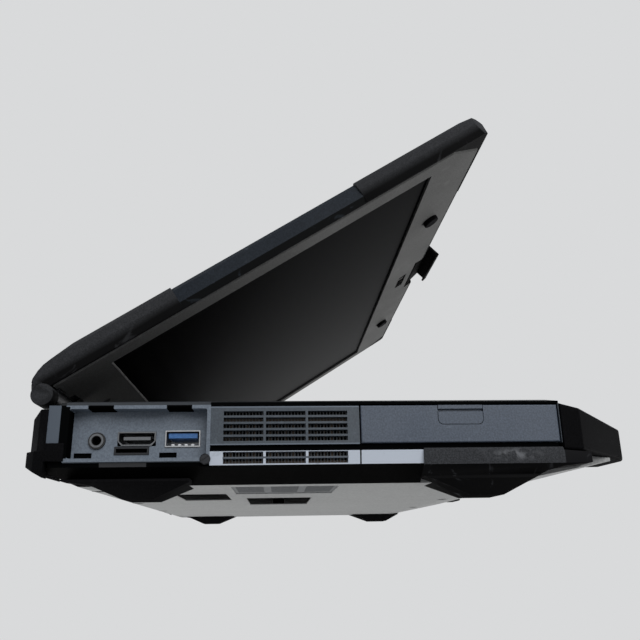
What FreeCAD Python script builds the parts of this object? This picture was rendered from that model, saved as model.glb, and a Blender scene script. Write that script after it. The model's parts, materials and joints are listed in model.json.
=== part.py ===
import FreeCAD, Part
import math
import os

# Rugged clamshell laptop computer with a 14-inch wide screen.
# Millimetres, +X to the user's right, +Y to the hinge, +Z up, feet on z = 0.

# Overall sizes.
WIDTH = 343.0
DEPTH = 247.0
LID_OPEN = 32.6

# Heights of the base, from the feet up.
FOOT_H = 5.5
SKIRT_H = 6.5
STRIP_H = 6.2
GROOVE_H = 1.8
FACE_H = 16.0
DECK_T = 3.0
DECK_EDGE = 1.0
DECK_BEVEL = 2.5
DECK_SIDE_BEVEL = 8.0

# Walls and set-backs of the base.
WALL = 3.0
FLOOR_T = 1.6
GROOVE_D = 1.2
STRIP_LEAN = 1.2
SKIRT_LEAN = 11.0
SIDE_PROUD = 1.0
REAR_PROUD = 2.0
FRONT_PROUD = 10.5
FRONT_RAMP_L = 43.0
FRONT_RAMP_H = 8.0
REAR_RAMP_L = 16.5
REAR_RAMP_H = 7.5

# Corner bumpers of the base.
CORNER_RUN = 24.0
CORNER_IN = 47.0
CORNER_CUT = 10.0
CORNER_FLAT = 8.0
CORNER_TOP_DROP = 9.2
CORNER_LOW = 1.0
CORNER_LOW_DROP = 3.0
CORNER_NOSE = 17.0
CAP_RUN = 5.9
CAP_T = 4.5
CAP_W = 27.0
SHELF_CHAMFER = 3.0

# Foot bumpers.
FRONT_FOOT_L = 68.0
FRONT_FOOT_LEAD = 11.0
FRONT_FOOT_MID = 25.7
FRONT_FOOT_FLAT = 13.5
FOOT_ROOM = 0.3
REAR_FOOT_L = 49.0
REAR_FOOT_MID = 28.8
REAR_FOOT_TAIL = 10.7
FOOT_FLAT = 12.0
FOOT_IN = 28.0
FOOT_RIDGE = 7.4

# Port bays.
REAR_STRIP = 6.6
BAY_L = 56.4
BAY_LOW = 1.9
TRAY_D = 8.0
TRAY_BACK = 1.6
TRAY_WALL = 1.4
TRAY_ROUND = 0.8
REAR_BAY_W = 120.0
REAR_BAY_LOW = 4.0

# Module bays for the drive and the battery.
DRIVE_W = 69.9
DRIVE_D = 100.0
DRIVE_T = 9.0
MODULE_L = DRIVE_W + 11.6
MODULE_LONG = DRIVE_D + 9.0
MODULE_TOP = 32.0
FACE_T = 2.5
FACE_GAP = 0.3
BUTTON_W = 18.3
BUTTON_H = 7.7
BUTTON_BACK = 31.9
BUTTON_GROOVE = (2.7, 1.5)
BUTTON_TRAVEL = 2.0
BAY_PLATE_T = 1.2
BAY_CLEAR = 0.4

# Exhaust vent.
VENT_END = 4.6
VENT_ROWS = 5
VENT_COLUMNS = 3
VENT_SLOT = 1.7
VENT_POST = 1.0
VENT_UP = 1.1
VENT_DOWN = 2.2
LOW_ROWS = 2
LOW_SLOT = 2.0
LOW_EDGE = 0.5

# Deck, keyboard and touchpad.
SHELF_T = 1.5
SHELF_DROP = 4.5
DECK_BACK = 10.5
KEYBOARD_SIDE = 28.625
KEY_PITCH = (WIDTH - 2 * KEYBOARD_SIDE) / 15
KEY_GAP = 1.7
KEY_H = 3.2
KEY_TRAVEL = 2.0
KEY_PROUD = 0.4
KEY_TAPER = 1.1
KEY_ROUND = 0.7
STEM = 5.0
STEM_CLEAR = 0.25
FUNCTION_ROW = 12.0
KEYBOARD_BACK = 13.0
KEYBOARD_EDGE = 1.5
TRAY_PLATE = 1.0
PAD_W = 100.0
PAD_FRONT = 35.75
PAD_DOWN = 14.0
PAD_SINK = 0.5
PAD_BUTTON_L = 11.0
PAD_BUTTON_GAP = 2.0
BUTTON_CLEAR = 0.25
FLANGE_T = 1.0
FLANGE_LIP = 2.0
POWER_W = 14.0
POWER_L = 7.0
POWER_IN = 50.0
POWER_X = WIDTH / 2 - POWER_IN

# Hinge.
HINGE_SET = 2.5
HINGE_RISE = 1.5
KNUCKLE_R = 4.4
PIN_R = 2.2
PIN_CLEAR = 0.05
HINGE_IN = 39.6
HINGE_X = WIDTH / 2 - HINGE_IN
BRACKET_W = 13.4
ARM_W = 17.6
HINGE_GAP = 0.6
ARM_PLATE_L = 76.0
ARM_PLATE_T = 2.4
ARM_PLATE_W = 9.6
ARM_ROOT = 5.5
ARM_STEP_BACK = 12.0
ARM_STEP_FRONT = 20.0
ARM_ROOM = 0.35

# Lid, measured from the hinge axis when shut: along the lid and out of it.
LID_BACK = 1.2
LID_SHORT = 18.3
LID_LONG = DEPTH - LID_SHORT
BEZEL_FACE = 1.2
BEZEL_T = 2.0
GASKET_T = 0.6
COVER_T = 8.2
COVER_SKIN = 1.6
LID_RIM = 6.0
LID_PROUD = 0.8
LID_CHAMFER_X = 13.0
LID_CHAMFER_Y = 20.0
LID_EDGE = 1.6
LID_LEAN = 0.5
LID_UNDERCUT = 1.4
LID_LIP = 1.9
LID_LIP_UP = 0.4
COVER_RIDGE = 0.7
BUMPER_RIDGE = 3.4
BUMPER_LIFT = 0.6
LID_NOSE = ((0.5, 4.2), (2.4, 2.1), (4.8, 1.0), (11.0, 0.0))
LID_NOSE_X = 4.0
LID_NOSE_Y = 5.0
LID_BACK_STEPS = ((0.0, 6.4), (1.2, 5.2), (4.2, 3.4), (7.2, 2.2), (13.2, 1.2), (21.2, 0.0))
LID_BACK_SLOPE = 21.2
LID_REAR_BUMPER = 66.0
LID_FRONT_BUMPER = 70.4
LID_BUMPER_W = 58.0
SCREEN_SIDE = 14.0
SCREEN_W = WIDTH - 2 * SCREEN_SIDE
SCREEN_START = 28.0
SCREEN_TOP = 31.2
SCREEN_H = LID_LONG - SCREEN_START - SCREEN_TOP
GLASS_T = 0.7
GLASS_MARGIN = 2.4
PANEL_T = 4.3
LID_PAD_R = 4.5
LID_PAD_H = 2.4
LID_PAD_IN = 77.0
LID_PAD_BACK = 15.7
CAMERA_BACK = 16.1
CAMERA_X = -5.0
CAMERA_R = 2.4
CAMERA_DEEP = 3.6
CAMERA_BOARD_W = 32.0
CAMERA_BOARD_L = 7.0
CAMERA_BOARD_T = 2.0
SHUTTER_SLOT_W = 20.0
SHUTTER_SLOT_L = 6.0
SHUTTER_SLOT_D = 1.0
SHUTTER_X = 5.0
SHUTTER_W = 9.4
SHUTTER_L = 5.0
SHUTTER_T = 0.65
SHUTTER_GRIP_W = 2.0
SHUTTER_GRIP_L = 3.0
SHUTTER_GRIP_UP = 0.1
SHUTTER_ROOM = 0.1
LID_SCREW_R = 1.1
LID_SCREW_HEAD_R = 2.4
LID_SCREW_SINK = 0.8
LATCH_ROOM = 8.5
LATCH_SKIN = 1.4
PANEL_SIDE = 52.0
PANEL_FRONT = 40.0
PANEL_REAR = 46.0
PANEL_SINK = 0.6
PANEL_ROUND = 14.0
LATCH_W = 44.0
LATCH_REACH = 7.7
LATCH_PIN_R = 1.2
LATCH_CLEAR = 0.5

# Fan and cooling.
FAN_R = 20.0
FAN_H = 11.0
FAN_SHAFT_R = 1.5
FAN_BLADES = 11
FIN_PITCH = 3.0
FIN_T = 0.8
FIN_DEPTH = 13.0

# Doors.
DOOR_T = 3.0
DOOR_GAP = 0.4
DOOR_PIN_R = 0.8

SMALL = 0.3
REACH = 400.0

half = WIDTH / 2
rear = DEPTH / 2
side_x = half - SIDE_PROUD
rear_y = rear - REAR_PROUD
front_y = -rear + FRONT_PROUD
pan_z = FOOT_H
band_z = pan_z + SKIRT_H
strip_z = band_z + STRIP_H
groove_z = strip_z + GROOVE_H
rim_z = groove_z + FACE_H
deck_z = rim_z + DECK_T
pan_x = side_x - SKIRT_LEAN
corner_y = front_y + CORNER_RUN
corner_x = side_x - CORNER_IN
cap_y = rear_y - CAP_RUN
cap_x = side_x - CAP_W
bay_rear = cap_y - REAR_STRIP
bay_front = bay_rear - BAY_L
bay_z = band_z + BAY_LOW
module_front = corner_y + 2 * FACE_GAP
module_rear = module_front + MODULE_L
deck_rear = rear_y - DECK_BACK
shelf_z = deck_z - SHELF_DROP
hinge_y = rear_y - HINGE_SET
hinge_z = deck_z + HINGE_RISE


def vec(x, y, z):
    return FreeCAD.Vector(x, y, z)


def box(x0, x1, y0, y1, z0, z1):
    return Part.makeBox(x1 - x0, y1 - y0, z1 - z0, vec(x0, y0, z0))


def face(points):
    return Part.Face(Part.makePolygon(points + [points[0]]))


def prism_x(points, x0, x1):
    return face([vec(x0, y, z) for y, z in points]).extrude(vec(x1 - x0, 0, 0))


def prism_y(points, y0, y1):
    return face([vec(x, y0, z) for x, z in points]).extrude(vec(0, y1 - y0, 0))


def prism_z(points, z0, z1):
    return face([vec(x, y, z0) for x, y in points]).extrude(vec(0, 0, z1 - z0))


def rod_x(x0, x1, y, z, r):
    return Part.makeCylinder(r, x1 - x0, vec(x0, y, z), vec(1, 0, 0))


def rod_y(y0, y1, x, z, r):
    return Part.makeCylinder(r, y1 - y0, vec(x, y0, z), vec(0, 1, 0))


def rod_z(z0, z1, x, y, r):
    return Part.makeCylinder(r, z1 - z0, vec(x, y, z0), vec(0, 0, 1))


def mirrored(shape):
    return shape.mirror(vec(0, 0, 0), vec(1, 0, 0))


def both(shape):
    return Part.makeCompound([shape, mirrored(shape)])


def fused(shapes):
    return shapes[0].multiFuse(shapes[1:]).removeSplitter()


def inset(points, gap):
    """The closed outline, listed anticlockwise, moved inward by gap."""
    moved = []
    count = len(points)
    for i in range(count):
        ax, ay = points[i - 1]
        bx, by = points[i]
        cx, cy = points[(i + 1) % count]
        d1 = math.hypot(bx - ax, by - ay)
        d2 = math.hypot(cx - bx, cy - by)
        n1x, n1y = -(by - ay) / d1, (bx - ax) / d1
        n2x, n2y = -(cy - by) / d2, (cx - bx) / d2
        share = gap / (1 + n1x * n2x + n1y * n2y)
        moved.append((bx + share * (n1x + n2x), by + share * (n1y + n2y)))
    return moved


def loft(low, z0, high, z1):
    wires = []
    for points, z in ((low, z0), (high, z1)):
        ring = [vec(x, y, z) for x, y in points]
        wires.append(Part.makePolygon(ring + [ring[0]]))
    return Part.makeLoft(wires, True, True)


def edges_along(shape, axis):
    picked = []
    for edge in shape.Edges:
        run = edge.Vertexes[-1].Point - edge.Vertexes[0].Point
        if run.Length > 1e-6 and abs(run.dot(axis)) / run.Length > 0.999:
            picked.append(edge)
    return picked


def soft_box(x0, x1, y0, y1, z0, z1, r, axis):
    """A box with its edges along one axis rounded."""
    solid = box(x0, x1, y0, y1, z0, z1)
    return solid.makeFillet(r, edges_along(solid, axis))


AXIS_X = vec(1, 0, 0)
AXIS_Y = vec(0, 1, 0)
AXIS_Z = vec(0, 0, 1)

os.makedirs("parts", exist_ok=True)


def save(name, shape):
    shape.exportStep("parts/" + name + ".step")


# Outline of the mid frame, anticlockwise, stepped in for the corner bumpers.
right_side = [
    (corner_x, front_y),
    (corner_x, corner_y - CORNER_CUT),
    (corner_x + CORNER_CUT, corner_y),
    (side_x, corner_y),
    (side_x, cap_y),
    (side_x - CAP_T, cap_y),
    (side_x - CAP_T, rear_y - CAP_T),
    (cap_x, rear_y - CAP_T),
    (cap_x, rear_y),
]
outline = right_side + [(-x, y) for x, y in reversed(right_side)]

# Underside of the bottom case: flat, with a ramp at the front and at the back.
ramp_front = front_y + FRONT_RAMP_L
ramp_rear = rear_y - REAR_RAMP_L
under = [
    (front_y, pan_z + FRONT_RAMP_H),
    (ramp_front, pan_z),
    (ramp_rear, pan_z),
    (rear_y, pan_z + REAR_RAMP_H),
]
inside = [(y, z + FLOOR_T) for y, z in under]
floor_z = pan_z + FLOOR_T
below_floor = prism_x(
    [(-REACH, inside[0][1])] + inside + [(REACH, inside[-1][1]), (REACH, -REACH), (-REACH, -REACH)],
    -REACH, REACH)
below_under = prism_x(
    [(-REACH, under[0][1])] + under + [(REACH, under[-1][1]), (REACH, -REACH), (-REACH, -REACH)],
    -REACH, REACH)
rear_edge_cut = prism_x(
    [(rear_y - SHELF_CHAMFER, shelf_z), (rear_y, shelf_z - SHELF_CHAMFER),
     (rear_y + 20, shelf_z - SHELF_CHAMFER - 20), (rear_y + 20, shelf_z + 20),
     (rear_y - SHELF_CHAMFER, shelf_z + 20)],
    -REACH, REACH)



def corner_under(y):
    """Height of the sloping underside of the front corner blocks."""
    return strip_z - CORNER_LOW - CORNER_LOW_DROP * (corner_y - y) / (corner_y + rear)


# Places of the pieces set into the underside.
COOL_BACK = 29.75
cool_y = module_rear + COOL_BACK
# Each as its set-in from the left side, its width, its middle from the fan and its length.
INTAKE = (10.0, 42.0, 0.0, 45.5)
DOCK = (82.5, 60.0, 2.3, 33.8)
SERVICE = (50.0, 46.0, 39.5, 24.5)


def floor_place(place):
    x0 = -pan_x + place[0]
    y = cool_y + place[2]
    return (x0, x0 + place[1], y - place[3] / 2, y + place[3] / 2)


intake_box = floor_place(INTAKE)
dock_box = floor_place(DOCK)
service_box = floor_place(SERVICE)
INSERT_SINK = 0.4
INSERT_LIP = 2.0
INSERT_LIP_T = 1.2

BOARD_T = 1.6
BOARD_Z = 14.0
board_x0, board_x1 = -60.0, side_x - 27.0
board_y0, board_y1 = module_rear + 7, deck_rear - 11
POST_R = 3.0
posts = [(board_x0 + 5, board_y1 - 5), (board_x1 - 5, board_y1 - 5), (board_x1 - 5, board_y0 + 5),
         (dock_box[1] + 8, board_y0 + 5)]

SCREW_HEAD_R = 3.0
SCREW_HEAD_T = 0.9
SCREW_R = 1.4
SCREW_L = 9.0
screw_x = pan_x - 26
screw_places = [(sx * screw_x, y) for sx in (-1, 1) for y in (ramp_front + 2, ramp_rear - 2)]
screw_places += [(sx * screw_x / 3, y) for sx in (-1, 1) for y in (ramp_front + 2, ramp_rear - 2)]


def set_in(place, drop, z0, z1):
    return box(place[0] + drop, place[1] - drop, place[2] + drop, place[3] - drop, z0, z1)


def bottom_case():
    case = prism_x(under + list(reversed(inside)), -pan_x, pan_x)
    notch = box(cap_x, REACH, rear_y - CAP_T, REACH, 0, REACH)
    case = case.cut(notch).cut(mirrored(notch))
    wall = box(pan_x - FLOOR_T, pan_x, front_y + FRONT_RAMP_L / 2, rear_y - CAP_RUN, pan_z, band_z)
    wall = wall.cut(below_under)
    # A cheek fills the space between the front ramp and each corner block.
    y0, y1 = front_y, corner_y - 0.1
    cheek = prism_x([(y0, pan_z), (y1, pan_z), (y1, corner_under(y1)), (y0, corner_under(y0))],
                    pan_x - FLOOR_T, pan_x).cut(below_under)
    pieces = [case, wall, mirrored(wall), cheek, mirrored(cheek)]
    for x, y in posts:
        pieces.append(rod_z(floor_z - SMALL, BOARD_Z, x, y, POST_R))
    case = fused(pieces)
    far = front_y - 30
    room = prism_x([(far, corner_under(far) - FOOT_ROOM), (y1, corner_under(y1) - FOOT_ROOM), (y1, REACH),
                    (far, REACH)], corner_x - SMALL, REACH)
    case = case.cut(room).cut(mirrored(room))
    for place in (intake_box, dock_box, service_box):
        case = case.cut(set_in(place, 0, 0, floor_z + 1))
    for x, y in screw_places:
        case = case.cut(rod_z(0, pan_z + SCREW_HEAD_T, x, y, SCREW_HEAD_R + 0.2))
        case = case.cut(rod_z(0, floor_z + 1, x, y, SCREW_R + 0.2))
    return case


def insert(place):
    """A piece let into the floor, held by a lip inside."""
    plug = set_in(place, 0.1, pan_z + INSERT_SINK, floor_z)
    lip = set_in(place, -INSERT_LIP, floor_z, floor_z + INSERT_LIP_T)
    return fused([plug, lip])


def intake_grille():
    grille = insert(intake_box)
    x0, x1, y0, y1 = intake_box
    cell = (y1 - y0) / 3
    for i in range(3):
        for j in range(6):
            x = x0 + 4 + (x1 - x0 - 8) * (j + 0.5) / 6
            slot = box(x - 1.5, x + 1.5, y0 + cell * i + 1.6, y0 + cell * (i + 1) - 1.6, 0, floor_z + 3)
            grille = grille.cut(slot)
    return grille


def dock_connector():
    block = insert(dock_box)
    x0, x1, y0, y1 = dock_box
    mid = (y0 + y1) / 2
    block = fused([block, set_in(dock_box, 6.0, floor_z, floor_z + 4.5)])
    return block.cut(box(x0 + 6, x1 - 6, mid - 3.2, mid + 3.2, 0, floor_z + 2.5))


def service_cover():
    cover = insert(service_box)
    x0, x1, y0, y1 = service_box
    return cover.cut(box(x0 + 4, x0 + 12, y0 + 4, y1 - 4, 0, pan_z + INSERT_SINK + 0.6))


def bottom_screws():
    solids = []
    for x, y in screw_places:
        head = rod_z(pan_z + 0.1, pan_z + SCREW_HEAD_T, x, y, SCREW_HEAD_R)
        head = head.cut(box(x - 2, x + 2, y - 0.4, y + 0.4, 0, pan_z + 0.6))
        head = head.cut(box(x - 0.4, x + 0.4, y - 2, y + 2, 0, pan_z + 0.6))
        shank = rod_z(pan_z + SCREW_HEAD_T - 0.2, pan_z + SCREW_L, x, y, SCREW_R)
        solids.append(fused([head, shank]))
    return Part.makeCompound(solids)


# Side skirt: a black wedge under each side, from the front foot to the rear corner.
front_foot_front = corner_y - FRONT_FOOT_LEAD
front_foot_rear = front_foot_front + FRONT_FOOT_L
skirt_face = [(-side_x + STRIP_LEAN, band_z), (-pan_x, pan_z), (-pan_x, band_z)]


def side_skirts():
    return both(prism_y(skirt_face, front_foot_rear, cap_y).cut(below_under))


def frame_ring(z0, z1, out, depth):
    return prism_z(inset(outline, -out), z0, z1).cut(prism_z(inset(outline, depth), z0, z1))


def vent_slots():
    slots = []
    run = bay_front - module_rear - 2 * VENT_END
    wide = run / VENT_COLUMNS
    fields = ((groove_z + VENT_UP, rim_z - VENT_DOWN, VENT_ROWS, VENT_SLOT),
              (band_z + LOW_EDGE, strip_z - LOW_EDGE, LOW_ROWS, LOW_SLOT))
    for c in range(VENT_COLUMNS):
        y0 = module_rear + VENT_END + wide * c + VENT_POST / 2
        y1 = y0 + wide - VENT_POST
        for low, high, rows, slot in fields:
            pitch = (high - low) / rows
            for r in range(rows):
                z = low + pitch * (r + 0.5)
                slots.append(box(-REACH, -side_x + WALL + 1, y0, y1, z - slot / 2, z + slot / 2))
    return slots


rear_bay_z = pan_z + REAR_RAMP_H + REAR_BAY_LOW
rear_bay_top = shelf_z - SHELF_T - 0.2
POWER_JACK_X = -105.0
POWER_JACK_Z = 24.0
POWER_JACK_R = 5.5
LOCK_X = 100.0


def mid_frame():
    frame = frame_ring(band_z, rim_z, 0, WALL)
    frame = frame.cut(frame_ring(strip_z, groove_z, 1, GROOVE_D))
    lean = prism_z(inset(outline, -1), band_z, strip_z)
    lean = lean.cut(loft(inset(outline, STRIP_LEAN), band_z, outline, strip_z))
    frame = frame.cut(lean)
    frame = frame.cut(below_floor)
    frame = frame.cut(box(-side_x + WALL, side_x - WALL, deck_rear - SHELF_T - 0.1, REACH,
                          shelf_z - SHELF_T, REACH))
    frame = frame.cut(rear_edge_cut)
    # The strip gives way to the front foot bumpers.
    foot = box(side_x - WALL - 5, REACH, front_foot_front, front_foot_rear, 0, strip_z)
    frame = frame.cut(foot).cut(mirrored(foot))
    bay = box(side_x - WALL - 1, REACH, bay_front, bay_rear, bay_z, rim_z)
    frame = frame.cut(bay).cut(mirrored(bay))
    module = box(side_x - WALL - 1, REACH, module_front - FACE_GAP, module_rear + FACE_GAP, groove_z, rim_z)
    frame = frame.cut(module).cut(mirrored(module))
    frame = frame.cut(box(-REAR_BAY_W / 2, REAR_BAY_W / 2, rear_y - WALL - 1, REACH,
                          rear_bay_z, rear_bay_top))
    frame = frame.cut(rod_y(rear_y - WALL - 1, rear_y + 1, POWER_JACK_X, POWER_JACK_Z, POWER_JACK_R + 0.1))
    frame = frame.cut(soft_box(LOCK_X - 3.5, LOCK_X + 3.5, rear_y - WALL - 1, rear_y + 1,
                               POWER_JACK_Z - 1.5, POWER_JACK_Z + 1.5, 1.0, AXIS_Y))
    return in_rails(frame.cut(Part.makeCompound(vent_slots())))


def in_rails(frame):
    """The frame as the straight rails and corners that it is put together from."""
    wall_x, nose_x, tail_x = side_x - WALL, corner_x - WALL, cap_x - WALL
    end = REAR_BAY_W / 2
    stops = [-REACH, module_rear + FACE_GAP, bay_front, bay_rear, REACH]
    rails = [box(wall_x, REACH, y0, y1, 0, REACH) for y0, y1 in zip(stops, stops[1:])]
    rails += [box(nose_x, wall_x, -REACH, 0, 0, REACH), box(tail_x, wall_x, 0, REACH, 0, REACH),
              box(end, tail_x, 0, REACH, 0, REACH)]
    places = rails + [mirrored(rail) for rail in rails]
    places += [box(-nose_x, nose_x, -REACH, 0, 0, REACH), box(-end, end, 0, REACH, 0, REACH)]
    solids = []
    for place in places:
        solids += frame.common(place).Solids
    return Part.makeCompound(solids)


def corner_bumper():
    """Front left corner block, with sloping top and underside."""
    x_out = -half
    plan = [
        (x_out, corner_y - SMALL),
        (x_out, corner_y - CORNER_FLAT),
        (x_out + CORNER_NOSE, -rear + 2.5),
        (x_out + CORNER_NOSE + 5, -rear),
        (-corner_x - 5, -rear),
        (-corner_x, -rear + 5),
        (-corner_x, corner_y - CORNER_CUT),
        (-corner_x - CORNER_CUT, corner_y),
        (-side_x + SMALL, corner_y),
    ]
    run = corner_y + rear
    profile = [
        (corner_y + 1, corner_under(corner_y + 1)),
        (corner_y + 1, rim_z),
        (corner_y, rim_z),
        (-rear - 1, rim_z - CORNER_TOP_DROP * (run + 1) / run),
        (-rear - 1, corner_under(-rear - 1)),
    ]
    block = prism_z(plan, 0, rim_z + 10).common(prism_x(profile, -REACH, REACH))
    outer = [e for e in block.Edges if e.BoundBox.YMin < corner_y - 1 and e.BoundBox.Center.y < corner_y - 1
             and e.BoundBox.Center.x < -corner_x - 1 - CORNER_CUT]
    return block.makeFillet(1.2, outer)


def front_foot():
    """Left front foot bumper: side pad running down to the foot."""
    x_out = -half
    x_in = x_out + FOOT_IN
    face_xz = [
        (x_out, strip_z - 0.8), (x_out + 0.8, strip_z), (-side_x + WALL + 5, strip_z),
        (-side_x + WALL + 5, band_z), (-pan_x, band_z), (-pan_x, pan_z), (x_in, pan_z),
        (x_in - 2, 0), (x_out + 6, 0), (x_out + 0.8, FOOT_RIDGE - 1.2), (x_out + 1.4, FOOT_RIDGE),
        (x_out + 2.6, FOOT_RIDGE + 0.4), (x_out, band_z - 0.4),
    ]
    mid = front_foot_rear - FRONT_FOOT_MID
    flat0, flat1 = mid - FRONT_FOOT_FLAT / 2, mid + FRONT_FOOT_FLAT / 2
    step = corner_y + FOOT_ROOM
    face_yz = [
        (front_foot_rear, strip_z + 1), (front_foot_rear, pan_z + 1.9), (flat1, 0), (flat0, 0),
        (flat0 - 10.5, pan_z), (flat0 - 17.7, pan_z + 3.5), (flat0 - 24.2, band_z - 1.4),
        (front_foot_front, band_z - 0.2), (front_foot_front, corner_under(front_foot_front) - FOOT_ROOM),
        (step, corner_under(step) - FOOT_ROOM), (step, strip_z + 1),
    ]
    return prism_y(face_xz, front_foot_front, front_foot_rear).common(prism_x(face_yz, -REACH, REACH))


rear_foot_rear = bay_rear


def rear_foot():
    """Left rear foot: a ridge over a trapezoid foot, lying on the skirt."""
    x_out = -half
    x_in = x_out + FOOT_IN
    rise = (FOOT_RIDGE - pan_z) / SKIRT_H
    x_skirt = -pan_x - rise * (SKIRT_LEAN - STRIP_LEAN)
    face_xz = [
        (x_out + 1.2, FOOT_RIDGE), (x_out + 0.6, FOOT_RIDGE - 1), (x_out + 6, 0), (x_in - 2, 0),
        (x_in, pan_z), (-pan_x, pan_z), (x_skirt, FOOT_RIDGE),
    ]
    mid = rear_foot_rear - REAR_FOOT_MID
    flat0, flat1 = mid - FOOT_FLAT / 2, mid + FOOT_FLAT / 2
    y0, y1 = rear_foot_rear - REAR_FOOT_L, rear_foot_rear
    face_yz = [
        (y0, FOOT_RIDGE + 1), (y0, pan_z + 0.5), (flat0, 0), (flat1, 0), (y1 - REAR_FOOT_TAIL, pan_z - 0.2),
        (y1, FOOT_RIDGE - 0.6), (y1, FOOT_RIDGE + 1),
    ]
    return prism_y(face_xz, y0, y1).common(prism_x(face_yz, -REACH, REACH))


def rear_cap():
    """Left rear corner bumper: an upper cap over a thicker lower lip."""
    x_cap = -side_x - 0.5
    upper = prism_z([
        (x_cap, cap_y), (-side_x + CAP_T, cap_y), (-side_x + CAP_T, rear_y - CAP_T),
        (-cap_x, rear_y - CAP_T), (-cap_x, rear_y + 0.5), (x_cap + 3.5, rear_y + 0.5), (x_cap, rear_y - 3)],
        strip_z, shelf_z)
    lower = prism_z([
        (-half, cap_y), (-side_x + CAP_T, cap_y), (-side_x + CAP_T, rear_y - CAP_T),
        (-cap_x, rear_y - CAP_T), (-cap_x, rear), (-half + 4, rear), (-half, rear - 4)],
        pan_z + 2.5, strip_z)
    cheek = box(-half, -side_x, bay_rear - 0.6, cap_y + SMALL, strip_z - 4, groove_z + 1.2)
    cap = fused([upper, lower, cheek]).cut(rear_edge_cut)
    cut_low = prism_x([(cap_y - 1, 0), (cap_y - 1, band_z - 4.5), (rear + 1, band_z + 1), (rear + 1, 0)],
                      -REACH, REACH)
    cap = cap.cut(cut_low)
    inner_skirt = box(-pan_x - 2, 0, -REACH, rear_y - CAP_T, 0, REACH)
    return cap.cut(inner_skirt)


# Port trays: a rim and a socket plate closing the bay at each side and at the back.
tray_x = -side_x + TRAY_D
plate_x = tray_x - TRAY_BACK
DOOR_AXIS_IN = DOOR_T / 2
door_low = bay_z + TRAY_WALL + DOOR_GAP


def side_rim():
    rim = box(-side_x, plate_x, bay_front, bay_rear, bay_z, rim_z)
    return rim.cut(soft_box(-side_x - 1, plate_x + 1, bay_front + TRAY_WALL, bay_rear - TRAY_WALL,
                            bay_z + TRAY_WALL, rim_z - TRAY_WALL, TRAY_ROUND, AXIS_X))


def side_plate():
    return box(plate_x, tray_x, bay_front, bay_rear, bay_z, rim_z)


# Sockets sit at these places, measured from the bay's rear and low edges.
JACK_BACK, JACK_UP = 11.2, 9.0
VIDEO_BACK, VIDEO_UP = 26.8, 9.7
CARD_BACK, CARD_UP = 25.0, 5.0
USB_BACK, USB_UP = BAY_L - 11.4, 9.6
USB_BACK_2 = 20.0
JACK_R = 3.3
JACK_BORE = 1.8
JACK_L = 14.0
USB_W, USB_T, USB_SHELL, USB_L = 13.9, 6.6, 0.45, 14.0
VIDEO_W, VIDEO_T, VIDEO_L = 15.0, 5.6, 11.0
CARD_W, CARD_T, CARD_L = 13.6, 3.2, 13.0
FIT = 0.1
jack_y, jack_z = bay_rear - JACK_BACK, bay_z + JACK_UP
video_y, video_z = bay_rear - VIDEO_BACK, bay_z + VIDEO_UP
card_y, card_z = bay_rear - CARD_BACK, bay_z + CARD_UP
usb_y, usb_z = bay_rear - USB_BACK, bay_z + USB_UP
usb_y2 = bay_rear - USB_BACK_2


def window(y, z, wide, high):
    return box(plate_x - 1, tray_x + 1, y - wide / 2 - FIT, y + wide / 2 + FIT,
               z - high / 2 - FIT, z + high / 2 + FIT)


def port_panel_left():
    plate = side_plate().cut(rod_x(plate_x - 1, tray_x + 1, jack_y, jack_z, JACK_R + FIT))
    plate = plate.cut(window(video_y, video_z, VIDEO_W, VIDEO_T))
    plate = plate.cut(window(card_y, card_z, CARD_W, CARD_T))
    plate = plate.cut(window(usb_y, usb_z, USB_W, USB_T))
    rim = side_rim()
    # Slots along the top edge and low in the plate that a bay door would hook into.
    for back in (8.6, 39.2):
        rim = rim.cut(box(-REACH, plate_x - 2, bay_rear - back - 9.6, bay_rear - back,
                          rim_z - TRAY_WALL - 1, rim_z - 0.5))
    for back in (2.7, 36.0):
        plate = plate.cut(box(plate_x - 1, plate_x + 0.9, bay_rear - back - 6.7, bay_rear - back,
                              bay_z + TRAY_WALL + 0.5, bay_z + TRAY_WALL + 2.7))
    return Part.makeCompound([rim, plate])


def port_panel_right():
    plate = side_plate().cut(window(usb_y, usb_z, USB_W, USB_T))
    plate = plate.cut(window(usb_y2, usb_z, USB_W, USB_T))
    rim = side_rim().cut(rod_y(bay_front - 1, bay_rear + 1, -side_x + DOOR_AXIS_IN, door_low + DOOR_T / 2,
                               DOOR_PIN_R + PIN_CLEAR))
    return mirrored(Part.makeCompound([rim, plate]))


def audio_jack():
    body = fused([rod_x(plate_x - 0.8, tray_x + 0.1, jack_y, jack_z, JACK_R),
                  box(tray_x, tray_x + JACK_L - 2, jack_y - 4, jack_y + 4, jack_z - 3.5, jack_z + 3.5)])
    return body.cut(rod_x(plate_x - 2, tray_x + JACK_L - 3, jack_y, jack_z, JACK_BORE))


def video_socket():
    y0, y1 = video_y - VIDEO_W / 2, video_y + VIDEO_W / 2
    z0, z1 = video_z - VIDEO_T / 2, video_z + VIDEO_T / 2

    def shell(drop):
        return [(y0 + drop, z1 - drop), (y0 + drop, z0 + 1.9), (y0 + drop + 1.6, z0 + drop),
                (y1 - drop - 1.6, z0 + drop), (y1 - drop, z0 + 1.9), (y1 - drop, z1 - drop)]

    body = prism_x(shell(0), plate_x - 0.4, tray_x + VIDEO_L)
    body = body.cut(prism_x(shell(0.5), plate_x - 2, tray_x + VIDEO_L - 2))
    tongue = box(plate_x + 0.6, tray_x + VIDEO_L - 1, y0 + 2.2, y1 - 2.2, video_z - 0.4, video_z + 0.9)
    return fused([body, tongue])


def card_slot():
    body = box(plate_x - 0.3, tray_x + CARD_L, card_y - CARD_W / 2, card_y + CARD_W / 2,
               card_z - CARD_T / 2, card_z + CARD_T / 2)
    return body.cut(box(plate_x - 1, tray_x + CARD_L - 2, card_y - CARD_W / 2 + 0.7,
                        card_y + CARD_W / 2 - 0.7, card_z - 0.8, card_z + 0.8))


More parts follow.
